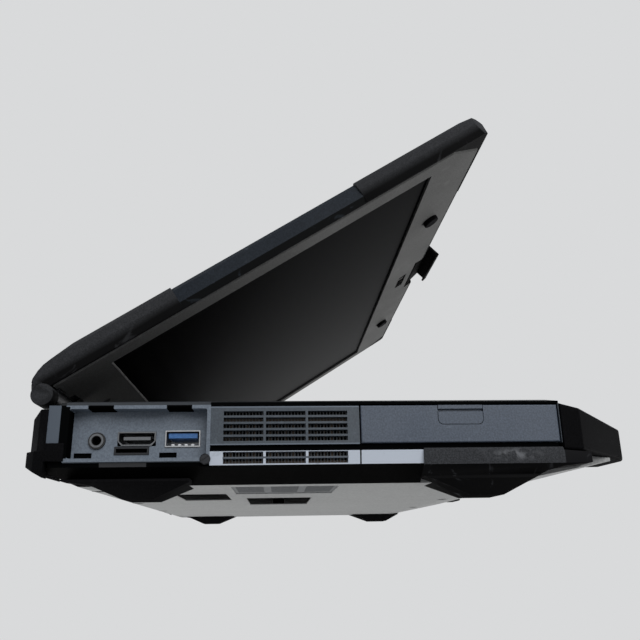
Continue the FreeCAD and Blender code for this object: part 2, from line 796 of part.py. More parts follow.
def usb_shell(y):
    y0, y1 = y - USB_W / 2, y + USB_W / 2
    z0, z1 = usb_z - USB_T / 2, usb_z + USB_T / 2
    shell = box(plate_x - 0.5, tray_x + USB_L, y0, y1, z0, z1)
    return shell.cut(box(plate_x - 1, tray_x + USB_L - 2, y0 + USB_SHELL, y1 - USB_SHELL,
                         z0 + USB_SHELL, z1 - USB_SHELL))


def usb_tongue(y):
    wide = USB_W - 2 * USB_SHELL - 1.6
    return box(plate_x + 0.4, tray_x + USB_L - 2, y - wide / 2, y + wide / 2, usb_z + 0.3, usb_z + 2.2)


def usb_shells():
    return Part.makeCompound([usb_shell(usb_y), mirrored(usb_shell(usb_y)), mirrored(usb_shell(usb_y2))])


def usb_tongues():
    return Part.makeCompound([usb_tongue(usb_y), mirrored(usb_tongue(usb_y)), mirrored(usb_tongue(usb_y2))])


def door_plate(length, high, thick):
    """A door lying along X from the origin, upright, its hinge pin at the origin."""
    r = thick / 2
    plate = fused([box(0, length, -r, r, 0, high - r), rod_x(0, length, 0, 0, r)])
    pins = rod_x(-1.0, length + 1.0, 0, 0, DOOR_PIN_R)
    grip = box(length / 2 - 9, length / 2 + 9, r - 0.8, r + 1, high - r - 4.5, high - r + 1)
    return fused([plate, pins]).cut(grip)


def right_port_door():
    length = bay_rear - bay_front - 2 * TRAY_WALL - 2 * DOOR_GAP
    high = rim_z - TRAY_WALL - DOOR_GAP - door_low
    door = door_plate(length, high, DOOR_T)
    door.rotate(vec(0, 0, 0), AXIS_Z, -90)
    door.translate(vec(side_x - DOOR_AXIS_IN, bay_rear - TRAY_WALL - DOOR_GAP, door_low + DOOR_T / 2))
    return door


# The back has one wide bay with a door.
rear_plate_y = rear_y - TRAY_D + TRAY_BACK
rear_tray_y = rear_y - TRAY_D
rear_door_low = rear_bay_z + TRAY_WALL + DOOR_GAP
NET_W, NET_T, NET_L = 13.4, 10.4, 14.0
NET_IN_W, NET_IN_T = 11.8, 8.0
SERIAL_W, SERIAL_T = 18.0, 9.4
net_xs = (-REAR_BAY_W / 2 + 20, -REAR_BAY_W / 2 + 40)
serial_x = REAR_BAY_W / 2 - 34
net_z = (rear_bay_z + rear_bay_top) / 2


def rear_panel():
    """A rim, and a plate in strips around the network windows."""
    end = REAR_BAY_W / 2
    inner_low, inner_top = rear_bay_z + TRAY_WALL, rear_bay_top - TRAY_WALL
    cheek = box(end - TRAY_WALL, end, rear_plate_y, rear_y, inner_low, inner_top)
    cheek = cheek.cut(rod_x(0, end + 1, rear_y - DOOR_AXIS_IN, rear_door_low + DOOR_T / 2,
                            DOOR_PIN_R + PIN_CLEAR))
    rim = [box(-end, end, rear_plate_y, rear_y, rear_bay_z, inner_low),
           box(-end, end, rear_plate_y, rear_y, inner_top, rear_bay_top), cheek, mirrored(cheek)]
    wide, high = NET_W / 2 + FIT, NET_T / 2 + FIT
    first, second = net_xs
    low, top = net_z - high, net_z + high
    strips = [
        (-end, first - wide, rear_bay_z, rear_bay_top),
        (first - wide, second + wide, rear_bay_z, low),
        (first - wide, second + wide, top, rear_bay_top),
        (first + wide, second - wide, low, top),
        (second + wide, end, rear_bay_z, rear_bay_top),
    ]
    plates = [box(x0, x1, rear_tray_y, rear_plate_y, z0, z1) for x0, x1, z0, z1 in strips]
    wide, high = SERIAL_W / 2 + FIT, SERIAL_T / 2 + FIT
    plates[-1] = plates[-1].cut(box(serial_x - wide, serial_x + wide, rear_tray_y - 1, rear_plate_y + 1,
                                    net_z - high, net_z + high))
    return Part.makeCompound(rim + plates)


def network_sockets():
    solids = []
    for x in net_xs:
        shell = box(x - NET_W / 2, x + NET_W / 2, rear_plate_y - NET_L, rear_plate_y + 0.4,
                    net_z - NET_T / 2, net_z + NET_T / 2)
        solids.append(shell.cut(box(x - NET_IN_W / 2, x + NET_IN_W / 2, rear_plate_y - NET_L + 2,
                                    rear_plate_y + 1, net_z - NET_IN_T / 2, net_z + NET_IN_T / 2)))
    return Part.makeCompound(solids)


def serial_socket():
    y0, y1 = rear_plate_y - 12, rear_plate_y + 1.5
    high = SERIAL_T / 2

    def shape(drop):
        return [(serial_x - SERIAL_W / 2 + drop, net_z + high - drop),
                (serial_x - SERIAL_W / 2 + drop + 1.4, net_z - high + drop),
                (serial_x + SERIAL_W / 2 - drop - 1.4, net_z - high + drop),
                (serial_x + SERIAL_W / 2 - drop, net_z + high - drop)]

    shell = prism_y(shape(0), y0, y1)
    shell = shell.cut(prism_y(shape(0.6), y1 - 6, y1 + 1))
    pins = []
    for row, count in ((1.4, 5), (-1.4, 4)):
        for i in range(count):
            x = serial_x + (i - (count - 1) / 2) * 2.76
            pins.append(rod_y(y1 - 7, y1 - 1, x, net_z + row, 0.5))
    return fused([shell] + pins)


def rear_port_door():
    length = REAR_BAY_W - 2 * TRAY_WALL - 2 * DOOR_GAP
    high = rear_bay_top - TRAY_WALL - DOOR_GAP - rear_door_low
    door = door_plate(length, high, DOOR_T)
    door.translate(vec(-length / 2, rear_y - DOOR_AXIS_IN, rear_door_low + DOOR_T / 2))
    return door


def power_socket():
    x, z = POWER_JACK_X, POWER_JACK_Z
    body = fused([rod_y(rear_y - WALL - 0.1, rear_y + 0.3, x, z, POWER_JACK_R),
                  box(x - 8, x + 8, rear_y - WALL - 15, rear_y - WALL, z - 7, z + 7)])
    return body.cut(rod_y(rear_y - WALL - 11, rear_y + 1, x, z, 3.8))


# Cooling: fins behind the vent, a heat pipe and a fan over the intake grille.
fin_x0 = -side_x + WALL + 0.5
fin_x1 = fin_x0 + FIN_DEPTH
FIN_LOW, FIN_HIGH = 13.0, 31.0
PIPE_T, PIPE_W = 3.0, 9.0
SPREADER_H = 5.4
pipe_z = BOARD_Z + BOARD_T + SPREADER_H
spreader_x, spreader_y = board_x0 + 30, bay_front - 7.75
fan_x, fan_y = (intake_box[0] + intake_box[1]) / 2 + 4, cool_y
fan_z0 = floor_z + INSERT_LIP_T
FAN_WALL = 2.0
FAN_CLEAR = 2.5
fan_half = FAN_R + FAN_CLEAR + FAN_WALL


def heat_sink():
    y0, y1 = module_rear + VENT_END, bay_front - VENT_END
    count = int((y1 - y0) / FIN_PITCH)
    solids = [box(fin_x0, fin_x1, y0, y1, FIN_HIGH - 2, FIN_HIGH),
              box(fin_x0, fin_x1, y0, y1, FIN_LOW, FIN_LOW + 1)]
    for i in range(count + 1):
        y = y0 + (y1 - y0 - FIN_T) * i / count
        solids.append(box(fin_x0, fin_x1, y, y + FIN_T, FIN_LOW, FIN_HIGH))
    solids.append(box(fin_x0 + 2, spreader_x + 14, spreader_y - PIPE_W / 2, spreader_y + PIPE_W / 2,
                      pipe_z, pipe_z + PIPE_T))
    return fused(solids)


def fan_housing():
    z1 = fan_z0 + FAN_H
    shell = box(fan_x - fan_half, fan_x + fan_half, fan_y - fan_half, fan_y + fan_half, fan_z0, z1)
    shell = shell.cut(rod_z(fan_z0 + FAN_WALL, z1 - 1, fan_x, fan_y, FAN_R + FAN_CLEAR))
    ring = rod_z(fan_z0 - 1, fan_z0 + FAN_WALL + 0.1, fan_x, fan_y, FAN_R - 3)
    shell = shell.cut(ring.cut(rod_z(fan_z0 - 1, fan_z0 + FAN_WALL + 0.1, fan_x, fan_y, 8)))
    spokes = [box(fan_x - FAN_R, fan_x + FAN_R, fan_y - 2, fan_y + 2, fan_z0, fan_z0 + FAN_WALL),
              box(fan_x - 2, fan_x + 2, fan_y - FAN_R, fan_y + FAN_R, fan_z0, fan_z0 + FAN_WALL)]
    shaft = rod_z(fan_z0, z1 - 2, fan_x, fan_y, FAN_SHAFT_R)
    outlet = box(fan_x - fan_half - 1, fan_x - FAN_R + 4, fan_y - FAN_R, fan_y + FAN_R,
                 fan_z0 + FAN_WALL, z1 - 1)
    return fused([shell.cut(outlet)] + spokes + [shaft])


def fan_rotor():
    z0, z1 = fan_z0 + FAN_WALL + 0.6, fan_z0 + FAN_H - 1.8
    hub = rod_z(z0, z1, fan_x, fan_y, 8.5)
    solids = [hub, rod_z(z0, z0 + 0.8, fan_x, fan_y, FAN_R - 4)]
    for i in range(FAN_BLADES):
        blade = box(7.5, FAN_R, -0.5, 0.5, z0, z1)
        blade.rotate(vec(7.5, 0, 0), AXIS_Z, 14)
        blade.rotate(vec(0, 0, 0), AXIS_Z, 360.0 * i / FAN_BLADES)
        blade.translate(vec(fan_x, fan_y, 0))
        solids.append(blade)
    return fused(solids).cut(rod_z(z0 - 1, z1 + 1, fan_x, fan_y, FAN_SHAFT_R + PIN_CLEAR))


def motherboard():
    return box(board_x0, board_x1, board_y0, board_y1, BOARD_Z, BOARD_Z + BOARD_T)


def processor():
    z0 = BOARD_Z + BOARD_T
    base = box(spreader_x - 18, spreader_x + 18, spreader_y - 18, spreader_y + 18, z0, z0 + 2)
    return fused([base, box(spreader_x - 13, spreader_x + 13, spreader_y - 13, spreader_y + 13,
                            z0 + 2, pipe_z)])


def memory_modules():
    z0 = BOARD_Z + BOARD_T
    x0 = spreader_x + 40
    y0 = board_y0 + 10
    return Part.makeCompound([box(x0, x0 + 67, y0 + 34 * i, y0 + 30 + 34 * i, z0, z0 + 4) for i in range(2)])


SPEAKER_W, SPEAKER_L, SPEAKER_H = 48.0, 16.0, 10.0
speaker_x = corner_x - CORNER_CUT - SPEAKER_W
speaker_y = front_y + WALL + 2


def speakers():
    return both(box(speaker_x, speaker_x + SPEAKER_W, speaker_y, speaker_y + SPEAKER_L,
                    rim_z - SPEAKER_H, rim_z))


# Removable modules slide out to each side on a bay plate.
module_in = -side_x + FACE_T + MODULE_LONG
plate_top = groove_z
carrier_z = plate_top + BAY_CLEAR
CARRIER_SIDE = 3.3
CARRIER_FRONT = 6.0
CARRIER_FLOOR = 1.2
button_y1 = module_rear - BUTTON_BACK
button_y0 = button_y1 - BUTTON_W
face_top = rim_z - 2 * FACE_GAP
button_z0 = face_top - BUTTON_H
face_x1 = -side_x + FACE_T


def bay_plates():
    y0, y1 = module_front + CARRIER_SIDE, module_rear - CARRIER_SIDE
    plate = box(-side_x + WALL, module_in, y0, y1, plate_top - BAY_PLATE_T, plate_top)
    legs = []
    for x in (-side_x + WALL + 16, module_in - 8):
        for y in (y0 + 20, y1 - 8):
            legs.append(box(x, x + 4, y, y + 4, floor_z, plate_top - BAY_PLATE_T + 0.1))
    return both(fused([plate] + legs).cut(below_floor))


def module_face():
    solid = box(-side_x - 0.2, face_x1, module_front + FACE_GAP, module_rear - FACE_GAP,
                groove_z + FACE_GAP, face_top)
    outer = [e for e in solid.Edges if e.BoundBox.XMax < -side_x]
    return solid.makeFillet(0.5, outer)


def button_hole():
    hole = box(-REACH, face_x1 + 1, button_y0 - BUTTON_CLEAR, button_y1 + BUTTON_CLEAR,
               button_z0 - BUTTON_CLEAR, REACH)
    low = [e for e in edges_along(hole, AXIS_X) if e.BoundBox.ZMax < button_z0]
    return hole.makeFillet(2.2, low)


def button_pocket():
    return box(face_x1, face_x1 + 1.5 + BUTTON_TRAVEL + 1, button_y0 - 1.5, button_y1 + 1.5,
               button_z0 - 1.5, REACH)


def module_button():
    cap = box(-side_x - 0.3, face_x1 + 0.5, button_y0, button_y1, button_z0, face_top)
    lower = [e for e in edges_along(cap, AXIS_X) if e.BoundBox.ZMax < button_z0 + 0.1]
    cap = cap.makeFillet(2.0, lower)
    flange = box(face_x1, face_x1 + 1.5, button_y0 - 1, button_y1 + 1, button_z0 - 1, face_top)
    low, high = BUTTON_GROOVE
    groove = box(-REACH, -side_x + 1.0, -REACH, REACH, face_top - low, face_top - high)
    return fused([cap, flange]).cut(groove)


def drive_cover():
    return module_face().cut(button_hole())


def drive_carrier():
    y0, y1 = module_front + CARRIER_SIDE + 0.2, module_rear - CARRIER_SIDE - 0.2
    body = box(face_x1, module_in - 0.4, y0, y1, carrier_z, MODULE_TOP)
    body = body.cut(box(face_x1 + CARRIER_FRONT, module_in - 2, y0 + CARRIER_FLOOR, y1 - CARRIER_FLOOR,
                        carrier_z + CARRIER_FLOOR, REACH))
    front = box(face_x1, face_x1 + CARRIER_FRONT, y0, y1, carrier_z, face_top)
    return fused([body, front]).cut(button_pocket())


def drive_unit():
    x0 = face_x1 + CARRIER_FRONT + 0.3
    mid = (module_front + module_rear) / 2
    z0 = carrier_z + CARRIER_FLOOR
    return box(x0, x0 + DRIVE_D, mid - DRIVE_W / 2, mid + DRIVE_W / 2, z0, z0 + DRIVE_T)


def battery_pack():
    y0, y1 = module_front + CARRIER_SIDE + 0.2, module_rear - CARRIER_SIDE - 0.2
    body = box(face_x1 - 0.1, module_in - 0.4, y0, y1, carrier_z, MODULE_TOP)
    front = box(face_x1 - 0.1, face_x1 + CARRIER_FRONT, y0, y1, carrier_z, face_top)
    pack = fused([module_face(), body, front])
    return mirrored(pack.cut(button_hole()).cut(button_pocket()))


# Deck: palm rest with its lower hinge shelf, keyboard, touchpad and buttons.
kb_rear = deck_rear - KEYBOARD_BACK
kb_front = kb_rear - FUNCTION_ROW - 5 * KEY_PITCH
kb_half = 7.5 * KEY_PITCH
pad_rear = kb_front - PAD_DOWN
pad_front = front_y + PAD_FRONT
pad_button_rear = pad_front - PAD_BUTTON_GAP
pad_button_front = pad_button_rear - PAD_BUTTON_L
power_y = deck_rear - KEYBOARD_BACK / 2
KEEPER_REACH = 2.0


def flanged(x0, x1, y0, y1, top):
    """A piece in a deck opening, held from below by a flange."""
    cap = box(x0, x1, y0, y1, rim_z - FLANGE_T, top)
    flange = box(x0 - FLANGE_LIP, x1 + FLANGE_LIP, y0 - FLANGE_LIP, y1 + FLANGE_LIP,
                 rim_z - FLANGE_T, rim_z)
    return cap, flange


def deck_opening(x0, x1, y0, y1):
    gap = BUTTON_CLEAR
    return box(x0 - gap, x1 + gap, y0 - gap, y1 + gap, rim_z - 1, deck_z + 1)


pad_button_x = PAD_BUTTON_GAP / 2
pad_button_end = PAD_W / 2


def palm_rest():
    plan = right_side[:4] + [(side_x, deck_rear)]
    plan = plan + [(-x, y) for x, y in reversed(plan)]
    deck = prism_z(plan, rim_z, rim_z + DECK_EDGE)
    deck = deck.fuse(loft(plan, rim_z + DECK_EDGE, inset(plan, DECK_BEVEL), deck_z))
    slope = prism_y([(-side_x - 1, rim_z + DECK_EDGE), (-side_x, rim_z + DECK_EDGE),
                     (-side_x + DECK_SIDE_BEVEL, deck_z), (-side_x - 1, deck_z)], -REACH, REACH)
    deck = deck.cut(both(slope))
    span = side_x - WALL
    wall = box(-span, span, deck_rear - SHELF_T, deck_rear, shelf_z - SHELF_T, rim_z + 0.5)
    shelf = prism_z(outline, shelf_z - SHELF_T, shelf_z)
    shelf = shelf.common(box(-span, span, deck_rear - SHELF_T, REACH, 0, REACH)).cut(rear_edge_cut)
    keeper = box(-LATCH_W / 2, LATCH_W / 2, front_y - KEEPER_REACH, front_y + 6, deck_z - 1.2, deck_z)
    deck = fused([deck, wall, shelf, keeper])
    deck = deck.cut(box(-kb_half - KEYBOARD_EDGE, kb_half + KEYBOARD_EDGE, kb_front - KEYBOARD_EDGE,
                        kb_rear + KEYBOARD_EDGE, rim_z - 1, deck_z + 1))
    deck = deck.cut(deck_opening(-PAD_W / 2, PAD_W / 2, pad_front, pad_rear))
    opening = deck_opening(pad_button_x, pad_button_end, pad_button_front, pad_button_rear)
    deck = deck.cut(opening).cut(mirrored(opening))
    deck = deck.cut(deck_opening(POWER_X, POWER_X + POWER_W, power_y - POWER_L / 2, power_y + POWER_L / 2))
    slots = []
    for i in range(10):
        for j in range(3):
            x = speaker_x + 4 + i * 4.2
            y = speaker_y + 3 + j * 4.4
            slots.append(both(box(x, x + 2.6, y, y + 1.4, rim_z - 1, deck_z + 1)))
    return deck.cut(Part.makeCompound(slots))


def touchpad():
    cap, flange = flanged(-PAD_W / 2, PAD_W / 2, pad_front, pad_rear, deck_z - PAD_SINK)
    trim = box(-REACH, REACH, pad_front - 0.5, REACH, 0, REACH)
    return fused([cap, flange.common(trim)])


def touchpad_button(top):
    cap, flange = flanged(pad_button_x, pad_button_end, pad_button_front, pad_button_rear, top)
    trim = box(pad_button_x - 0.5, REACH, -REACH, pad_button_rear + 0.5, 0, REACH)
    upper = [e for e in cap.Edges if e.BoundBox.ZMin > top - 0.1]
    return fused([cap.makeFillet(0.5, upper), flange.common(trim)])


def power_button():
    cap, flange = flanged(POWER_X, POWER_X + POWER_W, power_y - POWER_L / 2, power_y + POWER_L / 2,
                          deck_z + 0.3)
    trim = box(-REACH, REACH, kb_rear + KEYBOARD_EDGE + 0.5, deck_rear - SHELF_T - 0.5, 0, REACH)
    upper = [e for e in cap.Edges if e.BoundBox.ZMin > deck_z]
    return fused([cap.makeFillet(0.5, upper), flange.common(trim)])


key_top = deck_z + KEY_PROUD
key_low = key_top - KEY_H
tray_plate_top = key_low - KEY_TRAVEL - 0.2
tray_plate_low = tray_plate_top - TRAY_PLATE
SPACE_UNITS = 6.25
SPACE_START = 4.5


def key_rows():
    """Each key as (left edge in units, units wide, front y, depth)."""
    rows = []
    y = kb_rear - FUNCTION_ROW
    small = 15.0 / 17
    for i in range(17):
        rows.append((i * small, small, y, FUNCTION_ROW))
    widths = [
        [1.0] * 13 + [2.0],
        [1.5] + [1.0] * 12 + [1.5],
        [1.75] + [1.0] * 11 + [2.25],
        [2.25] + [1.0] * 10 + [2.75],
    ]
    for row in widths:
        y = y - KEY_PITCH
        start = 0.0
        for wide in row:
            rows.append((start, wide, y, KEY_PITCH))
            start = start + wide
    y = y - KEY_PITCH
    front_row = ((0, 1.25), (1.25, 1), (2.25, 1), (3.25, 1.25), (10.75, 1), (11.75, 1.25), (13, 1), (14, 1))
    for start, wide in front_row:
        rows.append((start, wide, y, KEY_PITCH))
    return rows


def stem(x, y, grow):
    h = STEM / 2 + grow
    return box(x - h, x + h, y - h, y + h, tray_plate_low - 0.3, key_low + 0.2)


def key_cap(wide, depth, stem_xs):
    """A key centred on the origin in plan, with its guide stems."""
    x = (wide * KEY_PITCH - KEY_GAP) / 2
    y = (depth - KEY_GAP) / 2
    low = [(-x, -y), (x, -y), (x, y), (-x, y)]
    cap = loft(low, key_low, inset(low, KEY_TAPER), key_top)
    upper = [e for e in cap.Edges if e.BoundBox.ZMax > key_top - 0.1]
    return fused([cap.makeFillet(KEY_ROUND, upper)] + [stem(sx, 0, 0) for sx in stem_xs])


def keycaps():
    made = {}
    solids = []
    for start, wide, y, depth in key_rows():
        if (wide, depth) not in made:
            made[(wide, depth)] = key_cap(wide, depth, (0,))
        key = made[(wide, depth)].copy()
        key.translate(vec(-kb_half + (start + wide / 2) * KEY_PITCH, y + depth / 2, 0))
        solids.append(key)
    return Part.makeCompound(solids)


SPACE_STEMS = (-40.0, 0.0, 40.0)
space_x = -kb_half + (SPACE_START + SPACE_UNITS / 2) * KEY_PITCH
space_y = kb_front + KEY_PITCH / 2


def space_bar():
    key = key_cap(SPACE_UNITS, KEY_PITCH, SPACE_STEMS)
    key.translate(vec(space_x, space_y, 0))
    return key


def keyboard_tray():
    edge = KEYBOARD_EDGE + 3
    outer = box(-kb_half - edge, kb_half + edge, kb_front - edge, kb_rear + edge, tray_plate_low, rim_z)
    tray = outer.cut(box(-kb_half - KEYBOARD_EDGE, kb_half + KEYBOARD_EDGE, kb_front - KEYBOARD_EDGE,
                         kb_rear + KEYBOARD_EDGE, tray_plate_top, rim_z + 1))
    holes = []
    for start, wide, y, depth in key_rows():
        x = -kb_half + (start + wide / 2) * KEY_PITCH
        holes.append(stem(x, y + depth / 2, STEM_CLEAR))
    for dx in SPACE_STEMS:
        holes.append(stem(space_x + dx, space_y, STEM_CLEAR))
    tray = tray.cut(Part.makeCompound(holes))
    # Relief for the flange of the power button behind the keyboard.
    return tray.cut(box(-REACH, REACH, kb_rear + KEYBOARD_EDGE + 0.3, REACH, rim_z - FLANGE_T - 1.2, REACH))


# Hinges: a bored knuckle on the deck shelf, and a lid arm with its pin.
pocket_rear = hinge_y + LID_BACK - LID_BACK_SLOPE
hinge_end = HINGE_X + BRACKET_W
arm_x0 = hinge_end + HINGE_GAP
arm_x1 = arm_x0 + ARM_W


def hinge_bracket():
    plate = box(HINGE_X, hinge_end, deck_rear + 0.3, rear_y - SHELF_CHAMFER - 0.1, shelf_z, shelf_z + 1.5)
    web = box(HINGE_X, hinge_end, hinge_y - KNUCKLE_R, rear_y - SHELF_CHAMFER - 0.1, shelf_z, hinge_z)
    knuckle = rod_x(HINGE_X, hinge_end, hinge_y, hinge_z, KNUCKLE_R)
    bracket = fused([plate, web, knuckle])
    return bracket.cut(rod_x(HINGE_X - 1, hinge_end + 1, hinge_y, hinge_z, PIN_R + PIN_CLEAR))


def arm_strip(grow):
    """Side view of the lid arm: out of the knuckle, then stepping up to pass behind the panel."""
    low = hinge_z + BEZEL_FACE + BEZEL_T + GASKET_T + 0.2 - grow
    high = low + PANEL_T - GLASS_T + grow
    low_top = low + ARM_PLATE_T + 2 * grow
    high_top = high + ARM_PLATE_T + grow
    root = hinge_y - ARM_ROOT - grow
    return [
        (hinge_y - 0.5, hinge_z), (root, hinge_z), (root, low), (hinge_y - ARM_STEP_BACK - 2, low),
        (hinge_y - ARM_STEP_FRONT, high), (hinge_y - ARM_PLATE_L - grow, high),
        (hinge_y - ARM_PLATE_L - grow, high_top), (hinge_y - ARM_STEP_FRONT + 1.5 + grow, high_top),
        (hinge_y - ARM_STEP_BACK + grow, low_top), (hinge_y - 3.6, low_top),
        (hinge_y - 0.5, hinge_z + KNUCKLE_R),
    ]


def hinge_arm():
    knuckle = rod_x(arm_x0, arm_x1, hinge_y, hinge_z, KNUCKLE_R)
    pin = rod_x(HINGE_X - 0.6, arm_x0 + 1, hinge_y, hinge_z, PIN_R)
    return fused([knuckle, pin, prism_x(arm_strip(0), arm_x1 - ARM_PLATE_W, arm_x1)])


# Lid, drawn shut over the base and turned open at the end.
lid_half = half - LID_PROUD
lid_front = hinge_y - LID_LONG
lid_rear = hinge_y + LID_BACK


def lid_outline(cut_x, cut_y):
    """The lid's plan, anticlockwise, with its front corners cut off."""
    return [
        (-lid_half + cut_x, lid_front), (lid_half - cut_x, lid_front), (lid_half, lid_front + cut_y),
        (lid_half, lid_rear), (-lid_half, lid_rear), (-lid_half, lid_front + cut_y),
    ]


lid_plan = lid_outline(LID_CHAMFER_X, LID_CHAMFER_Y)
bumper_plan = lid_outline(LID_NOSE_X, LID_NOSE_Y)
bezel_z = hinge_z + BEZEL_FACE
gasket_z = bezel_z + BEZEL_T
cover_z = gasket_z + GASKET_T
lip_z = bezel_z + LID_LIP_UP
cover_top = cover_z + COVER_T
glass_z = gasket_z - GLASS_T - 0.1
screen_y1 = hinge_y - SCREEN_START
screen_y0 = screen_y1 - SCREEN_H
pivot_y = lid_front + 4.0
pivot_z = cover_z + 1.4
notch_half = LATCH_W / 2 + LATCH_CLEAR
rest_turn = -LID_OPEN


def lid_slab(plan, out, lift, ridge):
    """The lid's outer form with a lip round the bezel, grown outward by out and upward by lift."""
    top = cover_top + lift
    nose = lid_front - out
    side = lid_half + out
    slab = prism_z(inset(plan, -out), lip_z, top).cut(prism_z(inset(lid_plan, LID_LIP), lip_z - 1, cover_z))
    back = [(lid_rear - run, top - drop) for run, drop in LID_BACK_STEPS]
    front = [(nose + run, top - drop) for run, drop in reversed(LID_NOSE)]
    length = prism_x([(nose + LID_UNDERCUT, lip_z), (lid_rear, lip_z)] + back + front
                     + [(nose, cover_z + ridge)], -REACH, REACH)
    edge = [(side - LID_UNDERCUT, lip_z), (side, cover_z + ridge), (side - LID_LEAN, top - LID_EDGE),
            (side - LID_EDGE, top)]
    across = prism_y(edge + [(-x, z) for x, z in reversed(edge)], -REACH, REACH)
    return slab.common(length).common(across)


def bumper_zone(out):
    rim = prism_z(inset(bumper_plan, -out - 1), bezel_z - 5, cover_top + 5)
    return rim.cut(prism_z(inset(lid_plan, LID_RIM), bezel_z - 6, cover_top + 6))


side_in = lid_half - LID_BUMPER_W


def rear_zone():
    zone = box(-REACH, -side_in, lid_rear - LID_REAR_BUMPER, REACH, 0, REACH)
    return zone.common(bumper_zone(LID_PROUD))


def front_zone():
    zone = box(-REACH, -side_in, -REACH, lid_front + LID_FRONT_BUMPER, 0, REACH)
    return zone.common(bumper_zone(LID_PROUD))


def hinge_room(outer):
    """Room in the lid for the knuckles and the arm, out to the given place across the lid."""
    swing = KNUCKLE_R + 3.2
    base_side = rod_x(HINGE_X - HINGE_GAP, hinge_end + HINGE_GAP / 2, hinge_y, hinge_z, swing)
    lid_side = box(arm_x0 - HINGE_GAP / 2, outer, hinge_y - KNUCKLE_R - 0.5, hinge_y + 2 * KNUCKLE_R,
                   hinge_z - KNUCKLE_R - 1, hinge_z + KNUCKLE_R + 0.8)
    strip = prism_x(arm_strip(ARM_ROOM), arm_x1 - ARM_PLATE_W - 0.3, arm_x1 + 0.3)
    return fused([base_side, lid_side, strip])


bumper_room = both(hinge_room(arm_x1 + 0.3))
hinge_rooms = both(hinge_room(lid_half + 2))
latch_room = box(-notch_half, notch_half, -REACH, lid_front + LATCH_ROOM, 0, cover_top - LATCH_SKIN)


def lid_cover():
    cover = lid_slab(lid_plan, 0, 0, COVER_RIDGE)
    pocket = prism_z(inset(lid_plan, LID_RIM), cover_z - 1, cover_top - COVER_SKIN)
    cover = cover.cut(pocket.common(box(-REACH, REACH, -REACH, pocket_rear, 0, REACH)))
    for zone in (rear_zone(), front_zone()):
        cover = cover.cut(zone).cut(mirrored(zone))
    panel = soft_box(-lid_half + PANEL_SIDE, lid_half - PANEL_SIDE, lid_front + PANEL_FRONT,
                     lid_rear - PANEL_REAR, cover_top - PANEL_SINK, cover_top + 5, PANEL_ROUND, AXIS_Z)
    cover = cover.cut(panel).cut(hinge_rooms).cut(latch_room)
    for side in (-1, 1):
        x0 = notch_half if side > 0 else -notch_half - 3
        cover = cover.cut(rod_x(x0 - 0.5, x0 + 3.5, pivot_y, pivot_z, LATCH_PIN_R + PIN_CLEAR))
    return cover.removeSplitter()


def lid_bumper(zone):
    return lid_slab(bumper_plan, LID_PROUD, BUMPER_LIFT, BUMPER_RIDGE).common(zone)


def lid_rear_bumpers():
    """Rear bumpers, each with a round ear that covers the end of its hinge."""
    bumper = lid_bumper(rear_zone()).cut(bumper_room)
    ear_x0, ear_x1 = -lid_half - LID_PROUD + LID_UNDERCUT / 2, -arm_x1 - 0.4
    ear = rod_x(ear_x0, ear_x1, hinge_y, hinge_z, KNUCKLE_R)
    neck = prism_x([(hinge_y, hinge_z), (hinge_y + KNUCKLE_R, hinge_z), (hinge_y + 1.7, hinge_z + 5.5),
                    (hinge_y - 0.9, hinge_z + 8.2), (hinge_y - KNUCKLE_R, hinge_z + 8.2)], ear_x0, ear_x1)
    return both(fused([bumper, ear, neck]))


def lid_front_bumpers():
    return both(lid_bumper(front_zone()))


def lid_gasket():
    ring = prism_z(inset(lid_plan, LID_LIP + 0.7), gasket_z, cover_z)
    ring = ring.cut(prism_z(inset(lid_plan, LID_RIM - 1), gasket_z, cover_z))
    return ring.cut(hinge_rooms).cut(latch_room)


def bezel():
    plan = inset(lid_plan, LID_LIP + 0.3)
    slab = loft(inset(plan, 0.8), bezel_z, plan, bezel_z + 0.8)
    slab = slab.fuse(prism_z(plan, bezel_z + 0.8, gasket_z)).removeSplitter()
    slab = slab.cut(box(-SCREEN_W / 2, SCREEN_W / 2, screen_y0, screen_y1, bezel_z - 1, gasket_z + 1))
    m = GLASS_MARGIN + 0.2
    slab = slab.cut(box(-SCREEN_W / 2 - m, SCREEN_W / 2 + m, screen_y0 - m, screen_y1 + m,
                        glass_z, gasket_z + 1))
    slab = slab.cut(hinge_rooms).cut(latch_room)
    slab = slab.cut(soft_box(-SHUTTER_SLOT_W / 2, SHUTTER_SLOT_W / 2, camera_y - SHUTTER_SLOT_L / 2,
                             camera_y + SHUTTER_SLOT_L / 2, bezel_z - 1, bezel_z + SHUTTER_SLOT_D,
                             SHUTTER_SLOT_D, AXIS_Z))
    slab = slab.cut(rod_z(bezel_z - 1, gasket_z + 1, CAMERA_X, camera_y, CAMERA_R + 0.2))
    for x, y in lid_screw_places:
        slab = slab.cut(rod_z(bezel_z - 1, bezel_z + LID_SCREW_SINK, x, y, LID_SCREW_HEAD_R + 0.2))
        slab = slab.cut(rod_z(bezel_z - 1, gasket_z + 1, x, y, LID_SCREW_R + 0.2))
    return slab


camera_y = lid_front + CAMERA_BACK
lid_screw_places = [(share * SCREEN_W, hinge_y - SCREEN_START / 2) for share in (-0.36, -0.15, 0.15, 0.36)]


def lid_screws():
    solids = []
    for x, y in lid_screw_places:
        head = rod_z(bezel_z + 0.2, bezel_z + LID_SCREW_SINK, x, y, LID_SCREW_HEAD_R)
        shank = rod_z(bezel_z + LID_SCREW_SINK - 0.1, gasket_z - 0.2, x, y, LID_SCREW_R)
        solids.append(fused([head, shank]))
    return Part.makeCompound(solids)


def screen_glass():
    m = GLASS_MARGIN
    return box(-SCREEN_W / 2 - m, SCREEN_W / 2 + m, screen_y0 - m, screen_y1 + m, glass_z, glass_z + GLASS_T)


